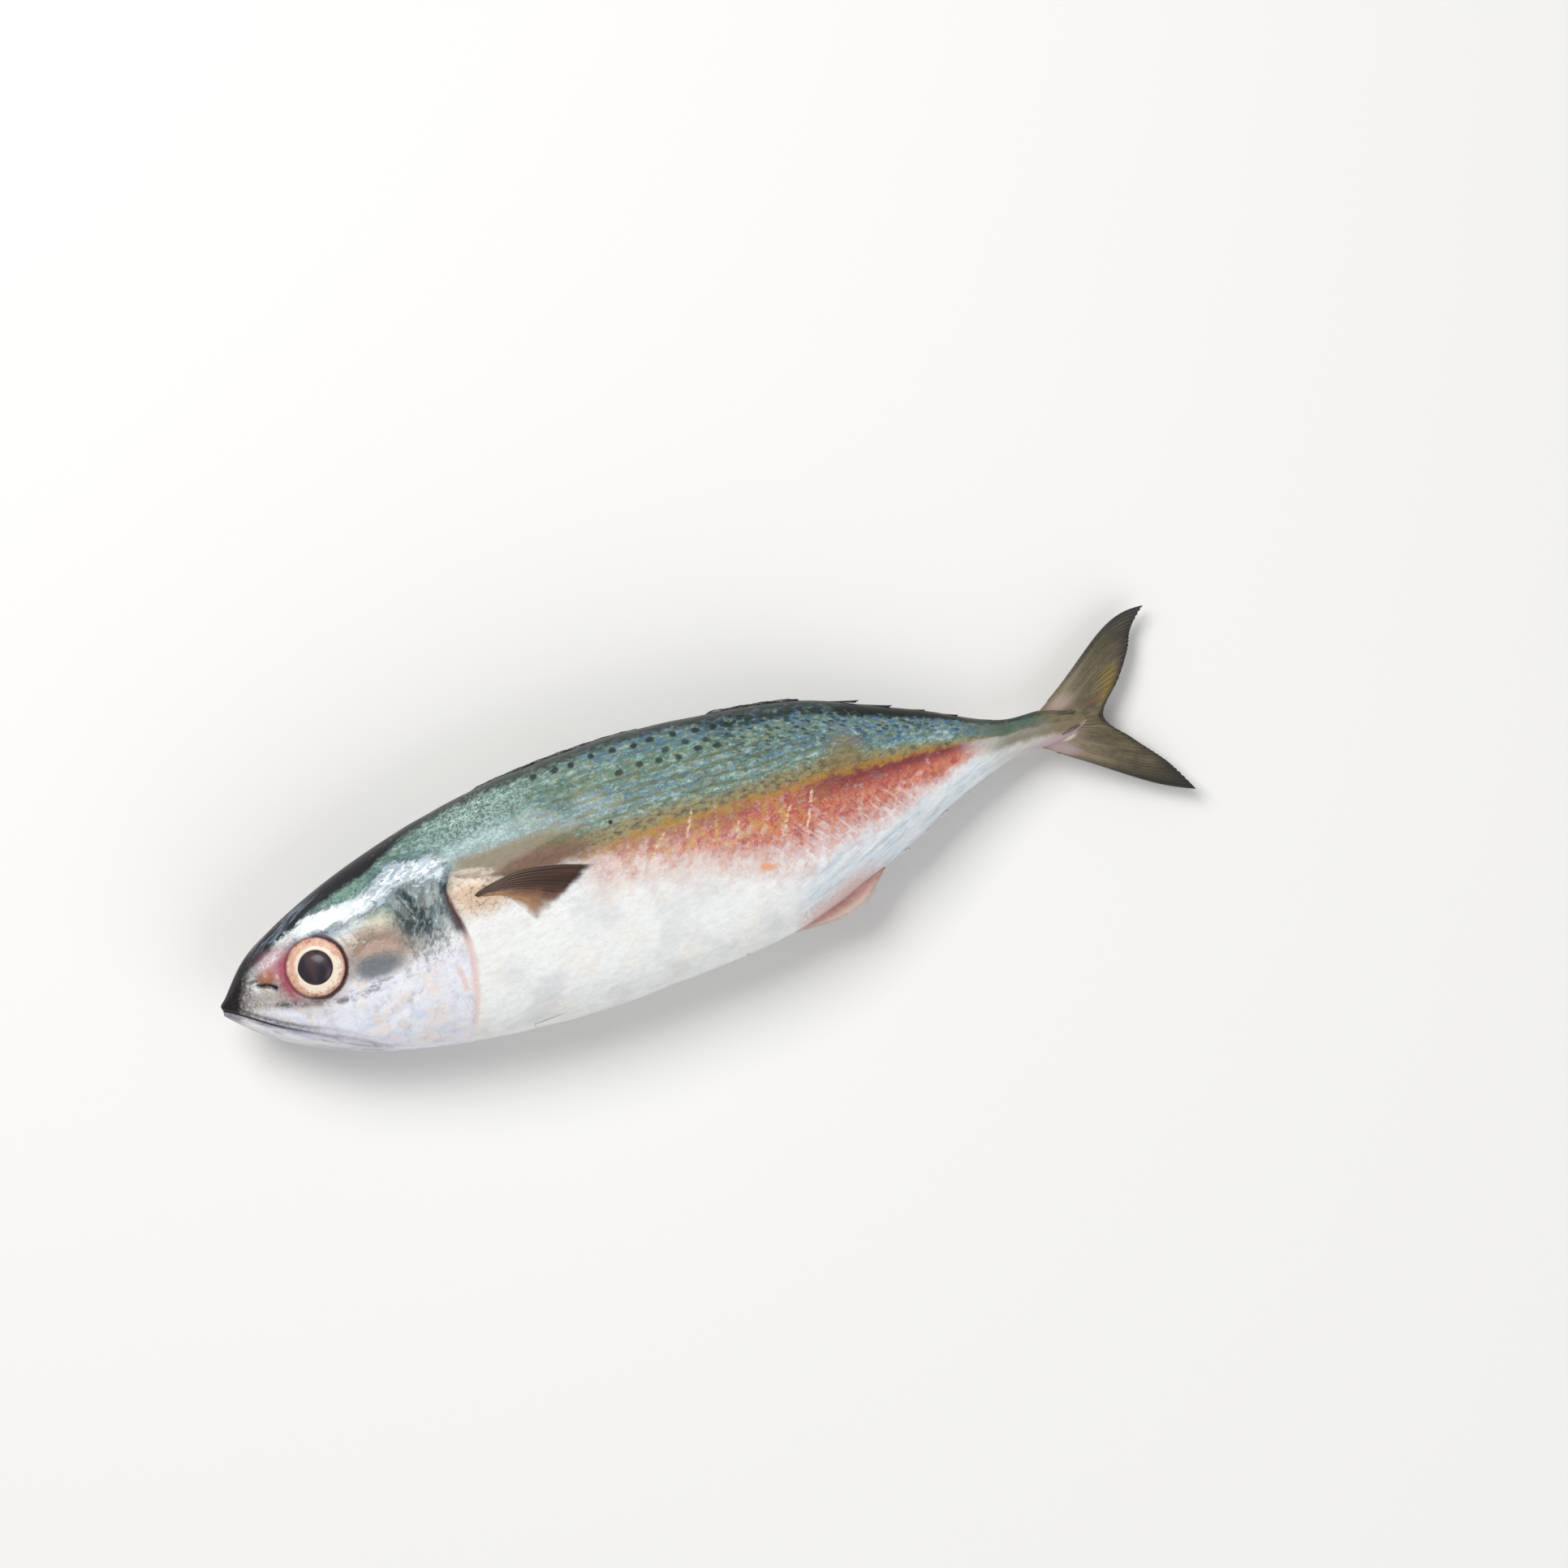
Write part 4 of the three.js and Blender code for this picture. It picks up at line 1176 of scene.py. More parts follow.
# %% [markdown]
# ## The wet skin as one material
#
# The layers are joined here. The head and the flank need different ones, and one material
# with all of them would be too large for the renderer. So the skin has two, and where
# they meet, just behind the root of the side fin, both show the same layers. A thin clear
# coat makes the skin wet, and the gloss varies a little. The finest relief, the tiny
# scales and the grain, is too small for the mesh, so it is a bump.

# %% Skin material
TAIL_GREY = paint(114, 110, 90)
TAIL_TEAL = paint(82, 102, 92)
TAIL_FLESH = paint(124, 110, 84)
TAIL_PINK = paint(182, 154, 164)
SPARKLE = paint(232, 240, 236)


def tail_root_finish(f, under):
    """The narrow end of the body: teal above, grey-beige, then lilac white below."""
    s = f.places()[0]
    h = f.attribute("height")
    fray = (f.noise(0.35, 3) - 0.5) * 0.2
    zone = f.ease(s, 236, 252)
    colour = f.blend(zone * f.ease(h + fray, 0.2, 0.4) * 0.85, under, TAIL_GREY)
    colour = f.blend(zone * f.ease(h + fray, 0.55, 0.72) * 0.9, colour, TAIL_TEAL)
    dark = zone * f.ease(h + fray, 0.84, 0.96)
    colour = f.blend(dark * 0.9, colour, RIDGE_DARK)
    flesh = f.ease(s + fray * 20, 257, 268)
    colour = f.blend(flesh * 0.85, colour, TAIL_FLESH)
    pink = f.ease(s, 253, 261) * f.ease(h + fray * 0.5, 0.34, 0.12)
    return f.blend(pink * 0.8, colour, TAIL_PINK)


HEAD_LAYERS = (
    band_finish, ridge_finish, shoulder_finish,
    cover_finish, cheek_finish, crown_finish, muzzle_finish, lid_finish,
)
REAR_LAYERS = (
    flush_finish, band_finish, mark_finish, ridge_finish,
    handling_finish, tail_root_finish, shoulder_finish,
)


def skin_finish(name, layers):
    """Wet skin with these layers of colour over the white."""
    f = Finish(name)
    s, t, _ = f.places()
    h = f.attribute("height")
    colour = belly_finish(f)
    for layer in layers:
        colour = layer(f, colour)
    glint = f.ease(f.cells(0.9, f.stretched(1, 1.2)) + (f.noise(0.8, 3) - 0.5) * 0.4, 0.34, 0.12)
    glint = glint * f.blob(s, t, (90, 32.6), (8, 3.6), 0.2, 0.7)
    colour = f.blend(glint * 0.7, colour, SPARKLE)
    dashes = f.noise(0.42, 3, 0.6, f.slanted(s, t, 14, 0.6, 1.4)) - 0.5
    grains = f.noise(1.25, 3, 0.7, f.stretched(0.8, 1.2)) - 0.5
    above = f.ease(h, 0.38, 0.6)
    strength = 0.26 + 0.5 * above * (1 - 0.3 * f.ease(s, 80, 60))
    light = 1 + (dashes + grains) * strength
    colour = f.read("VectorMath", {"operation": "SCALE"}, {0: colour, "Scale": light})
    scales = f.cells(0.75, f.stretched(0.85, 1.15))
    bump = scales * 0.5 + f.noise(0.9, 3) * 0.5
    rough = 0.3 + 0.16 * f.noise(0.2, 3)
    wet = 0.36 - 0.26 * f.ease(h, 0.84, 0.95)
    made = f.surface(moist(colour, rough, wet, 0.1, gleam=0.15), bump, 0.12, 0.55)
    print(f.material.name, len(f.tree.nodes), "nodes")
    return made


body = loft_body(skin_finish("wet_head_skin", HEAD_LAYERS), skin_finish("wet_flank_skin", REAR_LAYERS))
keep(body)


# %% [markdown]
# ## Eyes
#
# A fish's eye is a flat cream ring round a dark pupil, under a clear dome. The pupil is
# the ball of the lens, which pokes through the ring, so it is a separate glossy bulge.
# Both follow the slope of the flank. They are rings of points round the eye's centre.

# %% Rings and pupils
EYE_STEPS = 96
EYE_LEAN_REACH = 5
EYE_FLATNESS = 0.45
EYE_SHUT_DEPTH = 0.4
IRIS_HOLE_DEPTH = 1.2
IRIS_PROFILE = (
    (5.0, -0.5), (5.4, 0.05), (6.3, 0.0), (7.6, -0.2), (8.8, -0.7), (9.4, -1.5), (9.6, -2.6),
)
PUPIL_PROFILE = ((0, 1.25), (1.5, 1.2), (3, 0.95), (4.2, 0.5), (5.0, -0.1), (5.5, -0.9))
PUPIL_POINT = 0.7


def eye_base(s, t):
    """The level that the eye follows: the skin's own, made flatter."""
    near = EYE_CENTRE[0] + EYE_LEAN_REACH * np.array((-1.0, 0, 1))
    front, flat, rear = skin_height(near, EYE_CENTRE[1])
    plane = flat + (rear - front) / (2 * EYE_LEAN_REACH) * (s - EYE_CENTRE[0])
    return EYE_FLATNESS * plane + (1 - EYE_FLATNESS) * skin_height(s, t)


def eye_rings(profile, side, pointed):
    """Rings of an eye's surface. A pointed one reaches further towards the snout."""
    angle = np.linspace(0, 2 * math.pi, EYE_STEPS, endpoint=False)[None, :]
    radius, level = (np.array(column, float)[:, None] for column in zip(*profile))
    point = 1 + pointed / 5 * np.maximum(0, -np.cos(angle + 0.15)) ** 5
    s = EYE_CENTRE[0] + radius * np.cos(angle) * point
    t = EYE_CENTRE[1] + radius * np.sin(angle)
    z = eye_base(s, t) + level
    return np.stack(np.broadcast_arrays(s, t, side * z), -1)


def smooth_profile(profile, steps):
    """More rings along the same profile."""
    radius = np.linspace(profile[0][0], profile[-1][0], steps)
    return tuple(zip(radius, through(profile, radius)))


def cups(name, profile, finish, pointed=0.0, holed=False):
    """The same cup on both flanks, shut underneath. A holed one has a wall round its hole."""
    points, faces = [], []
    for side in (1, -1):
        rings = eye_rings(profile, side, pointed)
        under = rings[-1] - np.array((0, 0, side * EYE_SHUT_DEPTH))
        inner = under * 0.5 + under.mean(0) * 0.5
        stack = np.concatenate((rings, under[None], inner[None]))
        if holed:
            inside = rings[0] - np.array((0, 0, side * IRIS_HOLE_DEPTH))
            stack = np.concatenate((inside[None], stack))
        first = sum(len(part) for part in points)
        faces += tube_faces(len(stack), EYE_STEPS, first)
        points.append(np.concatenate((stack.reshape(-1, 3), stack[:1].mean(1), stack[-1:].mean(1))))
    points = np.concatenate(points)
    fields = {"eye": np.hypot(points[:, 0] - EYE_CENTRE[0], points[:, 1] - EYE_CENTRE[1])}
    made = mesh_object(name, placed(points), faces, fields, finish)
    face_out(made)
    return made


IRIS_CREAM = paint(236, 222, 202)
IRIS_PINK = paint(212, 164, 142)
IRIS_ROSE = paint(166, 100, 92)
IRIS_MAROON = paint(84, 30, 42)
PUPIL_DARK = paint(44, 38, 50)
PUPIL_REFLECTION_BROWN = paint(74, 58, 62)


def iris_finish():
    f = Finish("cream_iris")
    s, t, _ = f.places()
    r = f.attribute("eye")
    veins = f.noise(0.5, 4, 0.7)
    fray = (f.noise(0.35, 3) - 0.5) * 1.6
    lower = f.ease(t - s * 0.4, -8, -15)
    colour = f.blend(f.ease(r + fray * 1.7 - lower * 1.4, 5.9, 7) * 0.9, IRIS_CREAM, IRIS_PINK)
    spots = f.ease(f.noise(0.9, 4, 0.75), 0.54, 0.64) * f.ease(r, 5.6, 6.6)
    colour = f.blend(spots * 0.5, colour, IRIS_ROSE)
    colour = f.blend(f.ease(veins, 0.5, 0.66) * f.ease(r, 6.2, 8) * 0.75, colour, IRIS_ROSE)
    colour = f.blend(f.ease(veins, 0.46, 0.34) * f.ease(r, 6.4, 7.6) * 0.6, colour, IRIS_CREAM)
    colour = f.blend(f.ease(r, 5.45, 5.15) * 0.8, colour, PUPIL_DARK)
    front = f.ease(s, EYE_CENTRE[0] + 3, EYE_CENTRE[0] - 7)
    colour = f.blend(f.ease(r + fray * 0.5, 8.5, 9.2) * (0.95 - 0.35 * front), colour, IRIS_MAROON)
    values = moist(colour, 0.3 + 0.15 * veins, 0.25, 0.12, gleam=0.2)
    return f.surface(values, veins, 0.12, 0.6)


def pupil_finish():
    f = Finish("dark_pupil")
    # Painted reflection: faint brown streaks drawn out up and down the pupil stand in for a dim
    # reflection in the lens.
    depth = f.noise(0.22, 2, vector=f.stretched(1, 0.3))
    colour = f.blend(f.ease(depth, 0.45, 0.62) * 0.7, PUPIL_DARK, PUPIL_REFLECTION_BROWN)
    values = moist(colour, 0.3 + 0.1 * depth, 0.3, 0.16, gleam=0.2)
    return f.surface(values, depth, 0.03, 0.3)


keep(cups("irises", smooth_profile(IRIS_PROFILE, 26), iris_finish(), holed=True))
keep(cups("pupils", smooth_profile(PUPIL_PROFILE, 20)[1:], pupil_finish(), pointed=PUPIL_POINT))


# %% [markdown]
# ## A tree that grows fin rays
#
# Every fin is a thin web held out by rays. A ray is a tapered rod, so one small node tree
# serves them all: it turns lines into curves, gives each a radius that shrinks from root
# to tip, and sweeps a circle along it. The lines carry how far along they are.

# %% An empty node tree with named inputs
def new_tree(name, inputs):
    """A geometry tree with these inputs, and a short way to add a node to it."""
    tree = bpy.data.node_groups.new(name, "GeometryNodeTree")
    for label, kind in {"Geometry": "Geometry", **inputs}.items():
        tree.interface.new_socket(label, in_out="INPUT", socket_type="NodeSocket" + kind)
    tree.interface.new_socket("Geometry", in_out="OUTPUT", socket_type="NodeSocketGeometry")

    def node(kind, **settings):
        made = tree.nodes.new(kind)
        for setting, value in settings.items():
            setattr(made, setting, value)
        return made

    return tree, node


def join(tree, links):
    """Links each pair of sockets, and says how large the tree is."""
    for source, target in links:
        tree.links.new(source, target)
    print(tree.name, len(tree.nodes), "nodes")
    return tree


# %% Ray tree
def ray_tree():
    sizes = {"Root radius": "Float", "Tip radius": "Float", "Sides": "Int", "Finish": "Material"}
    tree, node = new_tree("fin_rays", sizes)
    given, result = node("NodeGroupInput"), node("NodeGroupOutput")
    taper = node("GeometryNodeInputNamedAttribute", data_type="FLOAT")
    taper.inputs["Name"].default_value = "along"
    radius = node("ShaderNodeMapRange")
    line = node("GeometryNodeMeshToCurve")
    circle = node("GeometryNodeCurvePrimitiveCircle")
    circle.inputs["Radius"].default_value = 1
    rod = node("GeometryNodeCurveToMesh")
    rod.inputs["Fill Caps"].default_value = True
    smooth = node("GeometryNodeSetShadeSmooth")
    real = node("GeometryNodeRealizeInstances")
    painted = node("GeometryNodeSetMaterial")
    return join(tree, (
        (given.outputs["Geometry"], line.inputs[0]),
        (taper.outputs["Attribute"], radius.inputs["Value"]),
        (given.outputs["Root radius"], radius.inputs["To Min"]),
        (given.outputs["Tip radius"], radius.inputs["To Max"]),
        (given.outputs["Sides"], circle.inputs["Resolution"]),
        (line.outputs[0], rod.inputs["Curve"]),
        (radius.outputs[0], rod.inputs["Scale"]),
        (circle.outputs[0], rod.inputs["Profile Curve"]),
        (rod.outputs[0], smooth.inputs[0]),
        (smooth.outputs[0], real.inputs[0]),
        (real.outputs[0], painted.inputs["Geometry"]),
        (given.outputs["Finish"], painted.inputs["Material"]),
        (painted.outputs[0], result.inputs[0]),
    ))


RAYS = ray_tree()


def grown(name, lines, tree, values):
    """Runs a node tree on some lines of points, and returns its plain mesh."""
    points = np.concatenate([placed(line) for line in lines])
    edges, along, first = [], [], 0
    for line in lines:
        edges += [(first + k, first + k + 1) for k in range(len(line) - 1)]
        along.append(np.linspace(0, 1, len(line)))
        first += len(line)
    mesh = bpy.data.meshes.new(name + "_lines")
    mesh.from_pydata(points.tolist(), edges, [])
    mesh.attributes.new("along", "FLOAT", "POINT").data.foreach_set("value", np.concatenate(along))
    source = bpy.data.objects.new(name + "_lines", mesh)
    bpy.context.collection.objects.link(source)
    run = source.modifiers.new("grow", "NODES")
    run.node_group = tree
    for socket in tree.interface.items_tree:
        if socket.in_out == "INPUT" and socket.name in values:
            run[socket.identifier] = values[socket.name]
    shape = bpy.data.meshes.new_from_object(source.evaluated_get(bpy.context.evaluated_depsgraph_get()))
    bpy.data.objects.remove(source)
    shape.name = name
    made = bpy.data.objects.new(name, shape)
    bpy.context.collection.objects.link(made)
    face_out(made)
    return made


# %% [markdown]
# ## Fins as fans
#
# Seen from the side, a fin is a fan: one curve for its root, one for its outer edge, and
# rays between that bow a little. The same fan gives the web's grid of points and the
# lines that the rays follow.

# %% Fans
def fan(root, edge, bow, bow_peak, across, along):
    """Places seen from the side. across and along run from 0 to 1 and may be grids."""
    reach = along[..., None]
    spot = on_curve(root, across) * (1 - reach) + on_curve(edge, across) * reach
    power = math.log(0.5) / math.log(bow_peak)
    spot[..., 1] += bow(across) * np.sin(math.pi * along**power)
    return spot


def mesh_grid(columns, rows):
    """Two grids of numbers from 0 to 1: the place across a fan, and the place along its rays."""
    return np.meshgrid(np.linspace(0, 1, columns), np.linspace(0, 1, rows), indexing="ij")


def web(name, middles, half, across, along, finish):
    """The web of one fin or more, each a slab round its middle."""
    fields = {"across": across, "along": along}
    return sheets(name, [(middle, half, fields) for middle in middles], finish)


print("a fan of 2 by 2 corners has", mesh_grid(2, 2)[0].size, "places")


# %% [markdown]
# ## Tail fin
#
# The tail fork is two stiff lobes of close, branching rays in a dark web. Its web is a
# sheet with a low ridge over every ray, and rods of the strongest rays lie in it. The tip
# of the upper lobe is bent back, and both tips curl up a little from the floor.

# %% Tail fin
TAIL_ROOT = ((261, 6.4), (266, 3.4), (268.5, 0.2), (265.5, -2.6), (259, -4))
TAIL_EDGE = (
    (302, 27.2), (296.3, 22), (293.6, 16.6), (288, 8.6), (280, -0.6),
    (286, -9.6), (291.5, -16.4), (296, -23), (299.6, -30.6),
)
TAIL_BOW_PEAK = 0.68
TAIL_RAYS = 44
TAIL_COLUMNS = 353
TAIL_ROWS = 60


def tail_bow(across):
    upper = 4.4 * np.maximum(0, 1 - 2 * across) ** 1.5
    return upper - 1.7 * np.maximum(0, 2 * across - 1) ** 1.5


def curl(t):
    return 2.2 * np.maximum(0, (np.abs(t) - 20) / 10) ** 2


def tail_place(across, along):
    spot = fan(TAIL_ROOT, TAIL_EDGE, tail_bow, TAIL_BOW_PEAK, across, along)
    return np.stack((spot[..., 0], spot[..., 1], curl(spot[..., 1])), -1)


def fin_finish(name, skin, ray, dark, patch, count):
    """A fin's skin, with streaks along its rays, darker edges and at most one stained patch."""
    f = Finish(name)
    s, t, _ = f.places()
    across, along = f.attribute("across"), f.attribute("along")
    spread = f.read("CombineXYZ", inputs={0: across * count, 1: along * 1.6})
    streaks = f.noise(0.5, 3, 0.6, spread)
    fine = f.noise(2.2, 2, 0.5, spread)
    colour = f.blend(f.ease(streaks, 0.36, 0.64), skin, ray)
    colour = f.blend(f.ease(fine, 0.52, 0.7) * 0.45, colour, dark)
    cloud = f.noise(0.16, 3)
    colour = f.blend(f.ease(cloud, 0.52, 0.7) * 0.4, colour, dark)
    if patch:
        centre, radii, tilt, tone = patch
        blot = f.blob(s + (cloud - 0.5) * 6, t, centre, radii, tilt, 0.6)
        colour = f.blend(blot * 0.75, colour, tone)
    rim = f.maths("MAXIMUM", f.ease(across, 0.05, 0.012), f.ease(across, 0.95, 0.988))
    rim = f.maths("MAXIMUM", rim, f.ease(along + (streaks - 0.5) * 0.06, 0.93, 0.985))
    colour = f.blend(rim * 0.8, colour, dark)
    return f, colour, streaks, fine


def tail_finish():
    skin, ray, dark = paint(84, 75, 50), paint(110, 100, 72), paint(28, 25, 20)
    patch = ((285.5, 7.5), (5.5, 4), 0.9, paint(136, 112, 40))
    f, colour, streaks, fine = fin_finish("tail_web", skin, ray, dark, patch, 30)
    s, t, _ = f.places()
    fray = (f.noise(0.3, 3) - 0.5) * 5
    root = f.ease(s + fray - f.size(t - 0.5) * 0.35, 276, 267)
    colour = f.blend(root * 0.85, colour, paint(136, 122, 98))
    pink = f.blob(s, t + fray * 0.3, (265, -6), (5, 2), -0.5, 0.6)
    colour = f.blend(pink * 0.7, colour, paint(176, 152, 160))
    gleam = f.blob(s + fray * 0.3, t, (267.5, -3), (2.6, 1.3), 0, 0.5)
    colour = f.blend(gleam * 0.8, colour, paint(226, 218, 212))
    upper = f.blob(s + fray * 0.4, t, (268.5, 7), (4, 1.8), 0.4, 0.6)
    colour = f.blend(upper * 0.7, colour, paint(176, 156, 146))
    rust = f.blob(s, t + fray * 0.2, (277.5, 4.6), (3.6, 0.9), -0.1, 0.6)
    colour = f.blend(rust * 0.7, colour, paint(110, 74, 44))
    across, along = f.attribute("across"), f.attribute("along")
    sides = f.maths("MAXIMUM", f.ease(across, 0.09, 0.02), f.ease(across, 0.91, 0.98))
    sides = sides * f.ease(along, 0.12, 0.4)
    hem = f.ease(along + fray * 0.012, 0.82, 0.97)
    colour = f.blend(f.maths("MAXIMUM", sides, hem) * 0.7, colour, dark)
    tips = f.ease(f.size(t) + fray * 0.4, 14, 29)
    colour = f.blend(tips * 0.85, colour, dark)
    fork = f.blob(s, t, (279.8, -0.6), (1.3, 1.5), 0, 0.4)
    colour = f.blend(fork * 0.9, colour, paint(34, 28, 26))
    values = moist(colour, 0.42 + 0.2 * streaks, 0.25, 0.2)
    return f.surface(values, streaks * 0.6 + fine * 0.4, 0.15, 0.8)


def tail_fin():
    across, along = mesh_grid(TAIL_COLUMNS, TAIL_ROWS)
    ridge = 0.5 + 0.5 * np.cos(2 * math.pi * across * TAIL_RAYS)
    half = 1.6 + (0.3 - 1.6) * along**0.6 + 0.14 * ridge * (1 - 0.5 * along)
    half *= rise(np.minimum(across, 1 - across), -0.012, 0.012)
    torn = 1 - 0.012 * ridge * (0.5 + 0.5 * np.sin(37 * across))
    middle = tail_place(across, along * torn)
    return web("tail_web", [middle], np.maximum(half, 0.1), across, along, tail_finish())


def tail_ray_lines():
    """The strongest rays, on both faces of the web."""
    lines = []
    along = np.linspace(0.1, 0.98, 30)
    for across in np.linspace(0.012, 0.988, 38):
        spot = tail_place(np.full(along.shape, across), along)
        thick = 1.6 + (0.3 - 1.6) * along**0.6 - 0.35 * (1 - along) ** 2
        for side in (1, -1):
            line = spot.copy()
            line[:, 2] += side * thick
            lines.append(line)
    return lines


RAY_BROWN = paint(100, 90, 64)


def ray_finish(name, colour, shade, tips=None):
    """Horny fin rays with a fine cross grain, which may darken away from the middle line."""
    f = Finish(name)
    grain = f.noise(0.7, 3)
    tone = f.blend(f.ease(grain, 0.4, 0.65), colour, shade)
    if tips:
        near, far, dark = tips
        tone = f.blend(f.ease(f.size(f.places()[1]), near, far) * 0.85, tone, dark)
    return f.surface(moist(tone, 0.35 + 0.2 * grain, 0.3, 0.15), grain, 0.04, 0.5)


keep(tail_fin())
tail_rays = {"Root radius": 0.28 * MM, "Tip radius": 0.09 * MM, "Sides": 8}
TIP_BLACK = paint(30, 27, 22)
tail_rays["Finish"] = ray_finish("tail_rays", RAY_BROWN, paint(62, 54, 44), (12, 27, TIP_BLACK))
keep(grown("tail_rays", tail_ray_lines(), RAYS, tail_rays))


# %% [markdown]
# ## Side fins
#
# The side fin lies folded back along the flank, so it follows the skin and stands just off
# it. Its upper rays are thick, dark and stuck together, and the lower part is a thin
# orange-brown web. Both flanks have one.

# %% Side fins
SIDE_ROOT = ((83.6, 7.9), (84.4, 7), (85.6, 5.9))
SIDE_EDGE = ((120.5, 5.5), (115, 2.4), (109.5, -0.4), (104, -3), (98.4, -4.8))
SIDE_BOW_PEAK = 0.45
SIDE_RAYS = 15


def side_bow(across):
    return 3.6 * (1 - across) ** 1.3 + 4.6 * across**3


def side_place(across, along, side, lift=0.0):
    spot = fan(SIDE_ROOT, SIDE_EDGE, side_bow, SIDE_BOW_PEAK, across, along)
    s, t = spot[..., 0], spot[..., 1]
    level = skin_height(s, t) - 0.35 * rise(along, 0.25, 0) + 0.4 * rise(along, 0, 0.3) + lift
    return np.stack((s, t, side * level), -1)


def side_finish():
    """Dark and solid above, orange-brown and see-through below, fading at the rim."""
    skin, ray, dark = paint(196, 152, 112), paint(172, 128, 92), paint(46, 28, 20)
    f, colour, streaks, fine = fin_finish("side_fin_web", skin, ray, dark, None, 16)
    across, along = f.attribute("across"), f.attribute("along")
    cloud = f.noise(0.22, 3, 0.6)
    drift = (streaks - 0.5) * 0.3 + (cloud - 0.5) * 0.35
    plum = f.ease(across + drift, 0.86, 0.56) * f.ease(along + drift, 0.2, 0.5)
    colour = f.blend(plum * 0.85, colour, paint(112, 78, 66))
    upper = f.ease(across + drift * 0.8, 0.6, 0.38)
    blade = f.blend(f.ease(streaks, 0.36, 0.66) * 0.7, dark, paint(78, 54, 44))
    colour = f.blend(upper * 0.95, colour, blade)
    rim = f.ease(along + drift * 0.7, 1.02, 0.78)
    low = f.ease(across + drift * 0.5, 1.0, 0.74)
    clear = f.maths("MINIMUM", rim, low)
    solid = f.maths("MAXIMUM", upper, f.ease(across, 0.8, 0.5) * 0.85)
    torn = f.ease(along + drift * 0.25, 1.0, 0.88) * f.ease(across - drift * 0.1, -0.01, 0.04)
    alpha = f.maths("MAXIMUM", solid * torn, clear * 0.7)
    values = moist(colour, 0.4 + 0.2 * streaks, 0.2, 0.15, gleam=0.2, solid=alpha)
    return f.surface(values, streaks * 0.6 + fine * 0.4, 0.1, 0.6)


def side_fins():
    across, along = mesh_grid(121, 50)
    ridge = 0.5 + 0.5 * np.cos(2 * math.pi * across * SIDE_RAYS)
    half = (0.6 - 0.45 * along) * (1 - 0.6 * across) + 0.05 * ridge
    half = np.maximum(half * rise(np.minimum(across, 1 - across), -0.03, 0.03), 0.06)
    middles = [side_place(across, along, side) for side in (1, -1)]
    return web("side_fin_webs", middles, half, across, along, side_finish())


def side_ray_lines(low, high, count, reach):
    """Rays between two places across the fan, lying in its outer face."""
    lines = []
    along = np.linspace(0.02, reach, 24)
    for across in np.linspace(low, high, count):
        thick = (0.6 - 0.45 * along) * (1 - 0.6 * across) - 0.26
        for side in (1, -1):
            lines.append(side_place(np.full(along.shape, across), along, side, thick))
    return lines


keep(side_fins())
upper_rays = {"Root radius": 0.3 * MM, "Tip radius": 0.08 * MM, "Sides": 8}
upper_rays["Finish"] = ray_finish("side_fin_dark_rays", paint(60, 42, 34), paint(40, 26, 20))
keep(grown("side_fin_dark_rays", side_ray_lines(0.05, 0.4, 8, 0.93), RAYS, upper_rays))
lower_rays = {"Root radius": 0.2 * MM, "Tip radius": 0.05 * MM, "Sides": 6}
lower_rays["Finish"] = ray_finish("side_fin_pale_rays", paint(184, 142, 112), paint(160, 118, 90))
keep(grown("side_fin_pale_rays", side_ray_lines(0.5, 0.8, 6, 0.75), RAYS, lower_rays))


# %% [markdown]
# ## Fins of the edges
#
# Along the belly lies the thin red-brown anal fin, and under the throat the two pelvic
# fins, folded flat. Along the back both dorsal fins are folded into their groove, so only
# dark spines and a thin strip of web show.

# %% Anal and pelvic fins
ANAL_ROOT = ((201.5, -22.8), (196, -25), (189, -27.2), (181, -29.6), (169.5, -32.4))
ANAL_EDGE = ((203, -23.2), (199.2, -27), (193.5, -32), (184, -34), (170, -33.2))


def flat_bow(across):
    return 0 * across


def anal_place(across, along):
    spot = fan(ANAL_ROOT, ANAL_EDGE, flat_bow, 0.5, across, along)
    wave = 0.35 * np.sin(14 * across) * along
    return np.stack((spot[..., 0], spot[..., 1], wave), -1)


def anal_finish():
    skin, ray = paint(212, 166, 160), paint(190, 138, 132)
    f, colour, streaks, fine = fin_finish("anal_web", skin, ray, ray, None, 12)
    s = f.places()[0]
    pale = f.ease(f.attribute("along") + (streaks - 0.5) * 0.4, 0.4, 0.75) * f.ease(s, 200, 192)
    colour = f.blend(pale * 0.75, colour, paint(214, 200, 184))
    thin = f.ease(f.attribute("along") + (streaks - 0.5) * 0.3, 1.02, 0.7)
    values = moist(colour, 0.4 + 0.2 * fine, 0.4, 0.15, solid=0.2 + 0.75 * thin)
    return f.surface(values, fine, 0.1, 0.7)


def anal_fin():
    across, along = mesh_grid(100, 16)
    half = np.maximum((0.8 - 0.55 * along) * rise(np.minimum(across, 1 - across), -0.05, 0.05), 0.12)
    return web("anal_web", [anal_place(across, along)], half, across, along, anal_finish())


def anal_ray_lines():
    lines = []
    along = np.linspace(0.0, 0.97, 12)
    for across in np.linspace(0.06, 0.96, 13):
        for side in (1, -1):
            line = anal_place(np.full(along.shape, across), along)
            line[:, 2] += side * (0.68 - 0.55 * along)
            lines.append(line)
    return lines


keep(anal_fin())
anal_rays = {"Root radius": 0.2 * MM, "Tip radius": 0.07 * MM, "Sides": 6}
anal_rays["Finish"] = ray_finish("anal_rays", paint(200, 150, 144), paint(214, 176, 168))
keep(grown("anal_rays", anal_ray_lines(), RAYS, anal_rays))

PELVIC_SPAN = (88, 107)
PELVIC_OUT = 3.4


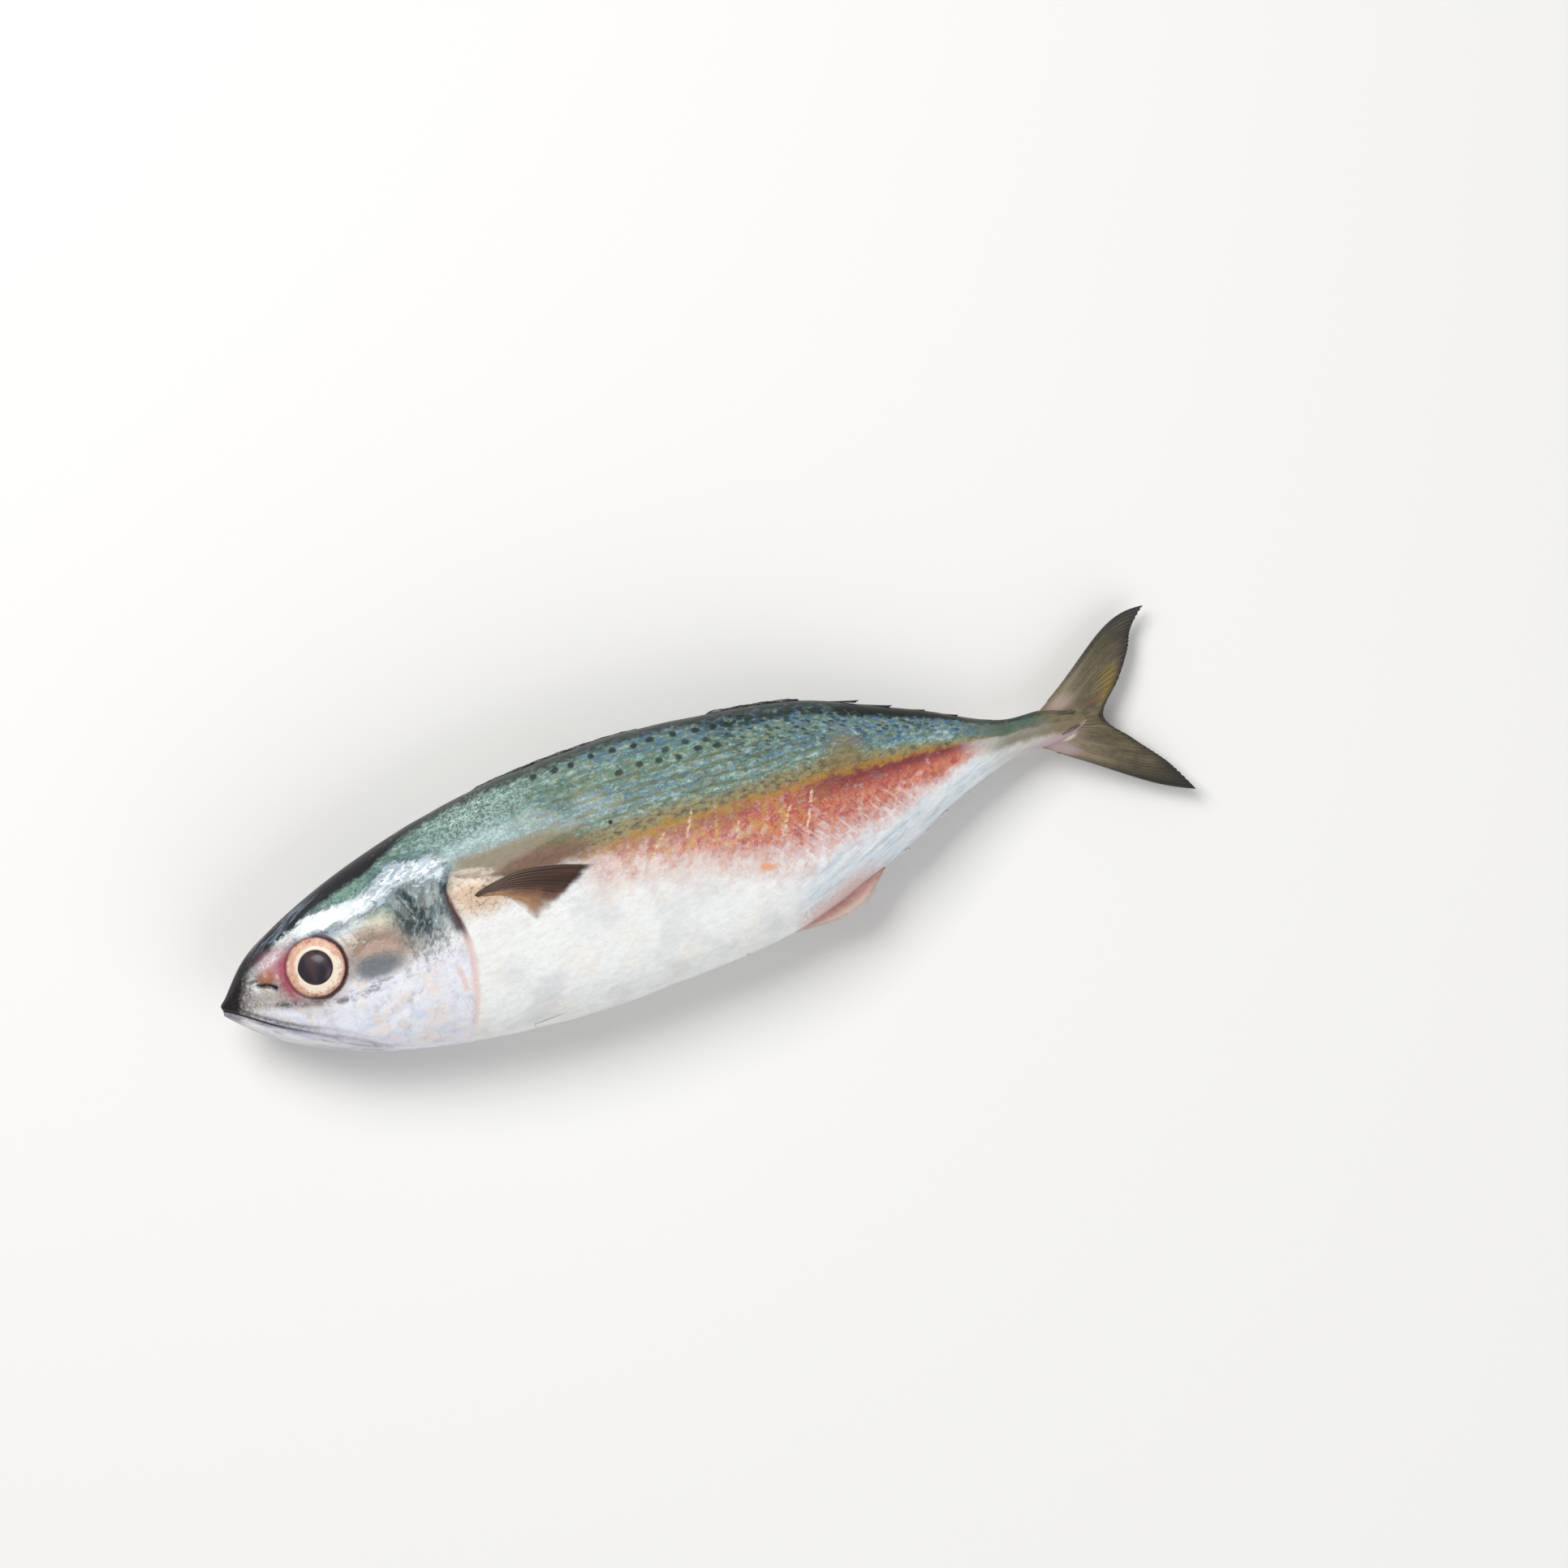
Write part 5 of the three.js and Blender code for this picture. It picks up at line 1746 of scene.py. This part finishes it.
def pelvic_fins():
    """Two small folded fins that hug the belly's edge."""
    across, along = mesh_grid(24, 30)
    s = PELVIC_SPAN[0] + (PELVIC_SPAN[1] - PELVIC_SPAN[0]) * along
    belly = through(BELLY, s)
    t = belly + 0.5 + (across - 0.2) * 3.4 * (0.35 + 0.65 * along) * rise(along, 1.25, 0.7)
    level = skin_height(s, np.maximum(t, belly + 0.2)) * 0.96
    level = np.maximum(level, PELVIC_OUT * 0.6)
    middles = [np.stack((s, t, side * level), -1) for side in (1, -1)]
    half = np.maximum((0.7 - 0.45 * along) * rise(np.minimum(across, 1 - across), -0.08, 0.08), 0.1)
    pale, ray, dark = paint(234, 233, 231), paint(224, 220, 218), paint(210, 206, 205)
    f, colour, streaks, fine = fin_finish("pelvic_webs", pale, ray, dark, None, 9)
    finish = f.surface(moist(colour, 0.4 + 0.1 * fine, 0.4, 0.15), streaks, 0.1, 0.7)
    return web("pelvic_fins", middles, half, across, along, finish)


keep(pelvic_fins())

# %% [markdown]
# ## Folded fins of the back
#
# The spines of the first dorsal fin lie in a groove and overlap like a closed fan. Rays of
# the second lie the same way. Both are lines that start on the ridge and run back just
# above it, with the ray tree to thicken them, over a thin dark strip of folded web.

# %% Folded spines
FIRST_DORSAL = (91.5, 128, 10, 17, 0.75)
SECOND_DORSAL = (166, 183, 9, 11, 1.1)


def folded_lines(first, last, count, reach, height):
    """Spines that spring from the ridge and lie back along it."""
    lines = []
    for k, start in enumerate(np.linspace(first, last, count)):
        s = start + np.linspace(0, reach, 16)
        lift = height * (0.15 + 0.85 * rise(s, start, start + reach)) * (0.75 + 0.25 * math.sin(k * 2.4))
        t = through(BACK, s) - 0.5 + lift
        z = 0.45 * math.sin(k * 1.9) * np.ones(s.shape)
        lines.append(np.stack((s, t, z), -1))
    return lines


def folded_web(name, first, last, height, finish):
    """The strip of web between the folded spines, thin and ragged along the top."""
    across, along = mesh_grid(int((last - first) * 2), 8)
    s = first + (last - first) * across
    ragged = 0.85 + 0.12 * np.sin(s * 0.9) + 0.06 * np.sin(s * 3.1)
    ends = rise(across, 0, 0.06) * rise(across, 1, 0.9)
    t = through(BACK, s) - 0.8 + along * (0.8 + height * 0.8 * ragged * ends)
    half = 0.75 - 0.55 * along
    middle = np.stack((s, t, 0.2 * np.sin(s)), -1)
    return web(name, [middle], half, across, along, finish)


def strip_finish():
    skin, ray, dark = paint(34, 33, 31), paint(50, 48, 44), paint(18, 17, 17)
    f, colour, streaks, fine = fin_finish("folded_dorsal_web", skin, ray, dark, None, 40)
    return f.surface(moist(colour, 0.45 + 0.1 * fine, 0.3, 0.15), streaks, 0.1, 0.7)


dorsal_web = strip_finish()
dorsal_spines = {"Root radius": 0.38 * MM, "Tip radius": 0.14 * MM, "Sides": 8}
dorsal_spines["Finish"] = ray_finish("folded_spines", paint(38, 34, 32), paint(18, 17, 18))
keep(folded_web("first_dorsal_web", 91.5, 145, 0.7, dorsal_web))
keep(grown("first_dorsal_spines", folded_lines(*FIRST_DORSAL), RAYS, dorsal_spines))
keep(folded_web("second_dorsal_web", 166, 195, 1.0, dorsal_web))
keep(grown("second_dorsal_rays", folded_lines(*SECOND_DORSAL), RAYS, dorsal_spines))

# %% [markdown]
# ## Finlets
#
# Behind the dorsal and anal fins stand five small flags, each smaller than the last.
# One finlet is modelled, and a node tree walks along the ridge and sets a copy at each
# step, turned along the ridge and scaled down as it goes.

# %% Finlet tree
def finlet_shape(name, length, height, finish):
    """One flag: a thin blade whose free edge sweeps back."""
    along = np.linspace(0, 1, 14)
    up = np.linspace(0, 1, 5)
    a, u = np.meshgrid(along, up, indexing="ij")
    rising = 0.15 + 0.85 * a**1.5
    x = length * (a * (1 + 0.12 * u))
    y = height * u * rising
    half = 0.55 * (1 - 0.6 * u) * rise(1 - a, -0.1, 0.2) + 0.08
    points = np.stack((x, y, np.zeros_like(x)), -1) * MM
    made = mesh_object(name, sheet_points(points, half * MM), sheet_faces(14, 5), {}, finish)
    face_out(made)
    return made


def finlet_tree():
    inputs = {"Finlet": "Object", "Count": "Int", "Shrink": "Float", "Finish": "Material"}
    tree, node = new_tree("finlets", inputs)
    given, result = node("NodeGroupInput"), node("NodeGroupOutput")
    line = node("GeometryNodeMeshToCurve")
    steps = node("GeometryNodeCurveToPoints", mode="COUNT")
    flag = node("GeometryNodeObjectInfo")
    where = node("GeometryNodeInputIndex")
    shrink = node("ShaderNodeMath", operation="MULTIPLY")
    scale = node("ShaderNodeMath", operation="SUBTRACT")
    scale.inputs[0].default_value = 1
    tangent = node("GeometryNodeInputTangent")
    turned = node("FunctionNodeAlignRotationToVector", axis="X", pivot_axis="Z")
    kept = node("GeometryNodeCaptureAttribute")
    kept.capture_items.new("VECTOR", "tangent")
    flags = node("GeometryNodeInstanceOnPoints")
    real = node("GeometryNodeRealizeInstances")
    painted = node("GeometryNodeSetMaterial")
    return join(tree, (
        (given.outputs["Geometry"], line.inputs[0]),
        (line.outputs[0], kept.inputs[0]),
        (tangent.outputs[0], kept.inputs[1]),
        (kept.outputs[0], steps.inputs[0]),
        (given.outputs["Count"], steps.inputs["Count"]),
        (given.outputs["Finlet"], flag.inputs["Object"]),
        (where.outputs[0], shrink.inputs[0]),
        (given.outputs["Shrink"], shrink.inputs[1]),
        (shrink.outputs[0], scale.inputs[1]),
        (kept.outputs[1], turned.inputs["Vector"]),
        (steps.outputs["Points"], flags.inputs["Points"]),
        (flag.outputs["Geometry"], flags.inputs["Instance"]),
        (turned.outputs[0], flags.inputs["Rotation"]),
        (scale.outputs[0], flags.inputs["Scale"]),
        (flags.outputs[0], real.inputs[0]),
        (real.outputs[0], painted.inputs["Geometry"]),
        (given.outputs["Finish"], painted.inputs["Material"]),
        (painted.outputs[0], result.inputs[0]),
    ))


FINLETS = finlet_tree()
FINLET_COUNT = 5
FINLET_SHRINK = 0.08


def ridge_line(knots, first, last, sunk):
    s = np.linspace(first, last, 60)
    return np.stack((s, through(knots, s) + sunk, 0 * s), -1)


def finlet_row(name, knots, first, last, length, height, finish):
    """Five finlets along the back, or the belly where the height is below zero."""
    flag = finlet_shape(name + "_one", length, height, finish)
    sunk = -0.25 if height > 0 else 0.25
    values = {"Finlet": flag, "Count": FINLET_COUNT, "Shrink": FINLET_SHRINK, "Finish": finish}
    made = grown(name, [ridge_line(knots, first, last, sunk)], FINLETS, values)
    bpy.data.objects.remove(flag)
    keep(made)


black_web = ray_finish("back_finlets", paint(36, 34, 34), paint(20, 19, 20))
pale_web = ray_finish("belly_finlets", paint(214, 212, 212), paint(188, 182, 184))
finlet_row("back_finlets", BACK, 200, 240, 10.5, 0.9, black_web)
finlet_row("belly_finlets", BELLY, 205, 237, 6.5, -1.1, pale_web)


# %% [markdown]
# ## Keels and flaps
#
# Two low fleshy keels run on to the root of the tail fin on each side, and a pointed pale
# flap of scales covers the root of each side fin. They are small, but they break the
# light, so each is a tapered form of its own.

# %% Keels and flaps
LENS_RINGS = 28
LENS_AROUND = 20


def lens_rings(centre, half, turned, side):
    """A tapered form, pointed at both ends, seen from the side at a turn."""
    a = np.linspace(-0.985, 0.985, LENS_RINGS)[:, None]
    angle = np.linspace(0, 2 * math.pi, LENS_AROUND, endpoint=False)[None, :]
    round_off = np.sqrt(1 - a * a) ** 1.4
    x = half[0] * a + 0 * angle
    y = half[1] * round_off * np.cos(angle)
    z = half[2] * round_off * np.sin(angle)
    s = centre[0] + x * math.cos(turned) - y * math.sin(turned)
    t = centre[1] + x * math.sin(turned) + y * math.cos(turned)
    return np.stack((s, t, side * (centre[2] + z)), -1)


def lenses(name, forms, finish):
    """One piece of several tapered forms."""
    points, faces = [], []
    for rings in forms:
        first = sum(len(part) for part in points)
        faces += tube_faces(len(rings), rings.shape[1], first)
        points.append(np.concatenate((rings.reshape(-1, 3), rings[:1].mean(1), rings[-1:].mean(1))))
    made = mesh_object(name, placed(np.concatenate(points)), faces, {}, finish)
    face_out(made)
    return made


def keel_finish():
    f = Finish("tail_keels")
    grain = f.noise(0.5, 3)
    colour = f.blend(f.ease(grain, 0.4, 0.6), paint(70, 58, 50), paint(112, 96, 84))
    return f.surface(moist(colour, 0.35 + 0.1 * grain, 0.5, 0.12), grain, 0.08, 0.6)


def flap_finish():
    f = Finish("shoulder_flaps")
    s, t, _ = f.places()
    grain = f.noise(0.6, 3, 0.6, f.stretched(0.6, 1.4))
    colour = f.blend(f.ease(grain, 0.42, 0.62), paint(206, 194, 176), paint(176, 158, 138))
    rim = f.ease(s, 90, 96)
    colour = f.blend(rim * 0.6, colour, paint(206, 156, 122))
    shown = f.blob(s + (grain - 0.5) * 4, t, (87, 13.8), (7, 1.3), -0.26, 0.6)
    values = moist(colour, 0.3 + 0.15 * grain, 0.4, 0.12, solid=shown)
    return f.surface(values, grain, 0.12, 0.7)


keel_forms = []
flap_forms = []
for side in (1, -1):
    for height, turned in ((4.1, -0.16), (-1.8, 0.16)):
        keel_forms.append(lens_rings((268, height, 1.9), (4.8, 0.55, 0.8), turned, side))
    flap_level = float(skin_height(np.float64(88), np.float64(13.6)))
    flap_forms.append(lens_rings((88, 13.6, flap_level - 0.45), (9.5, 2.4, 0.75), -0.26, side))
keep(lenses("tail_keels", keel_forms, keel_finish()))
keep(lenses("shoulder_flaps", flap_forms, flap_finish()))
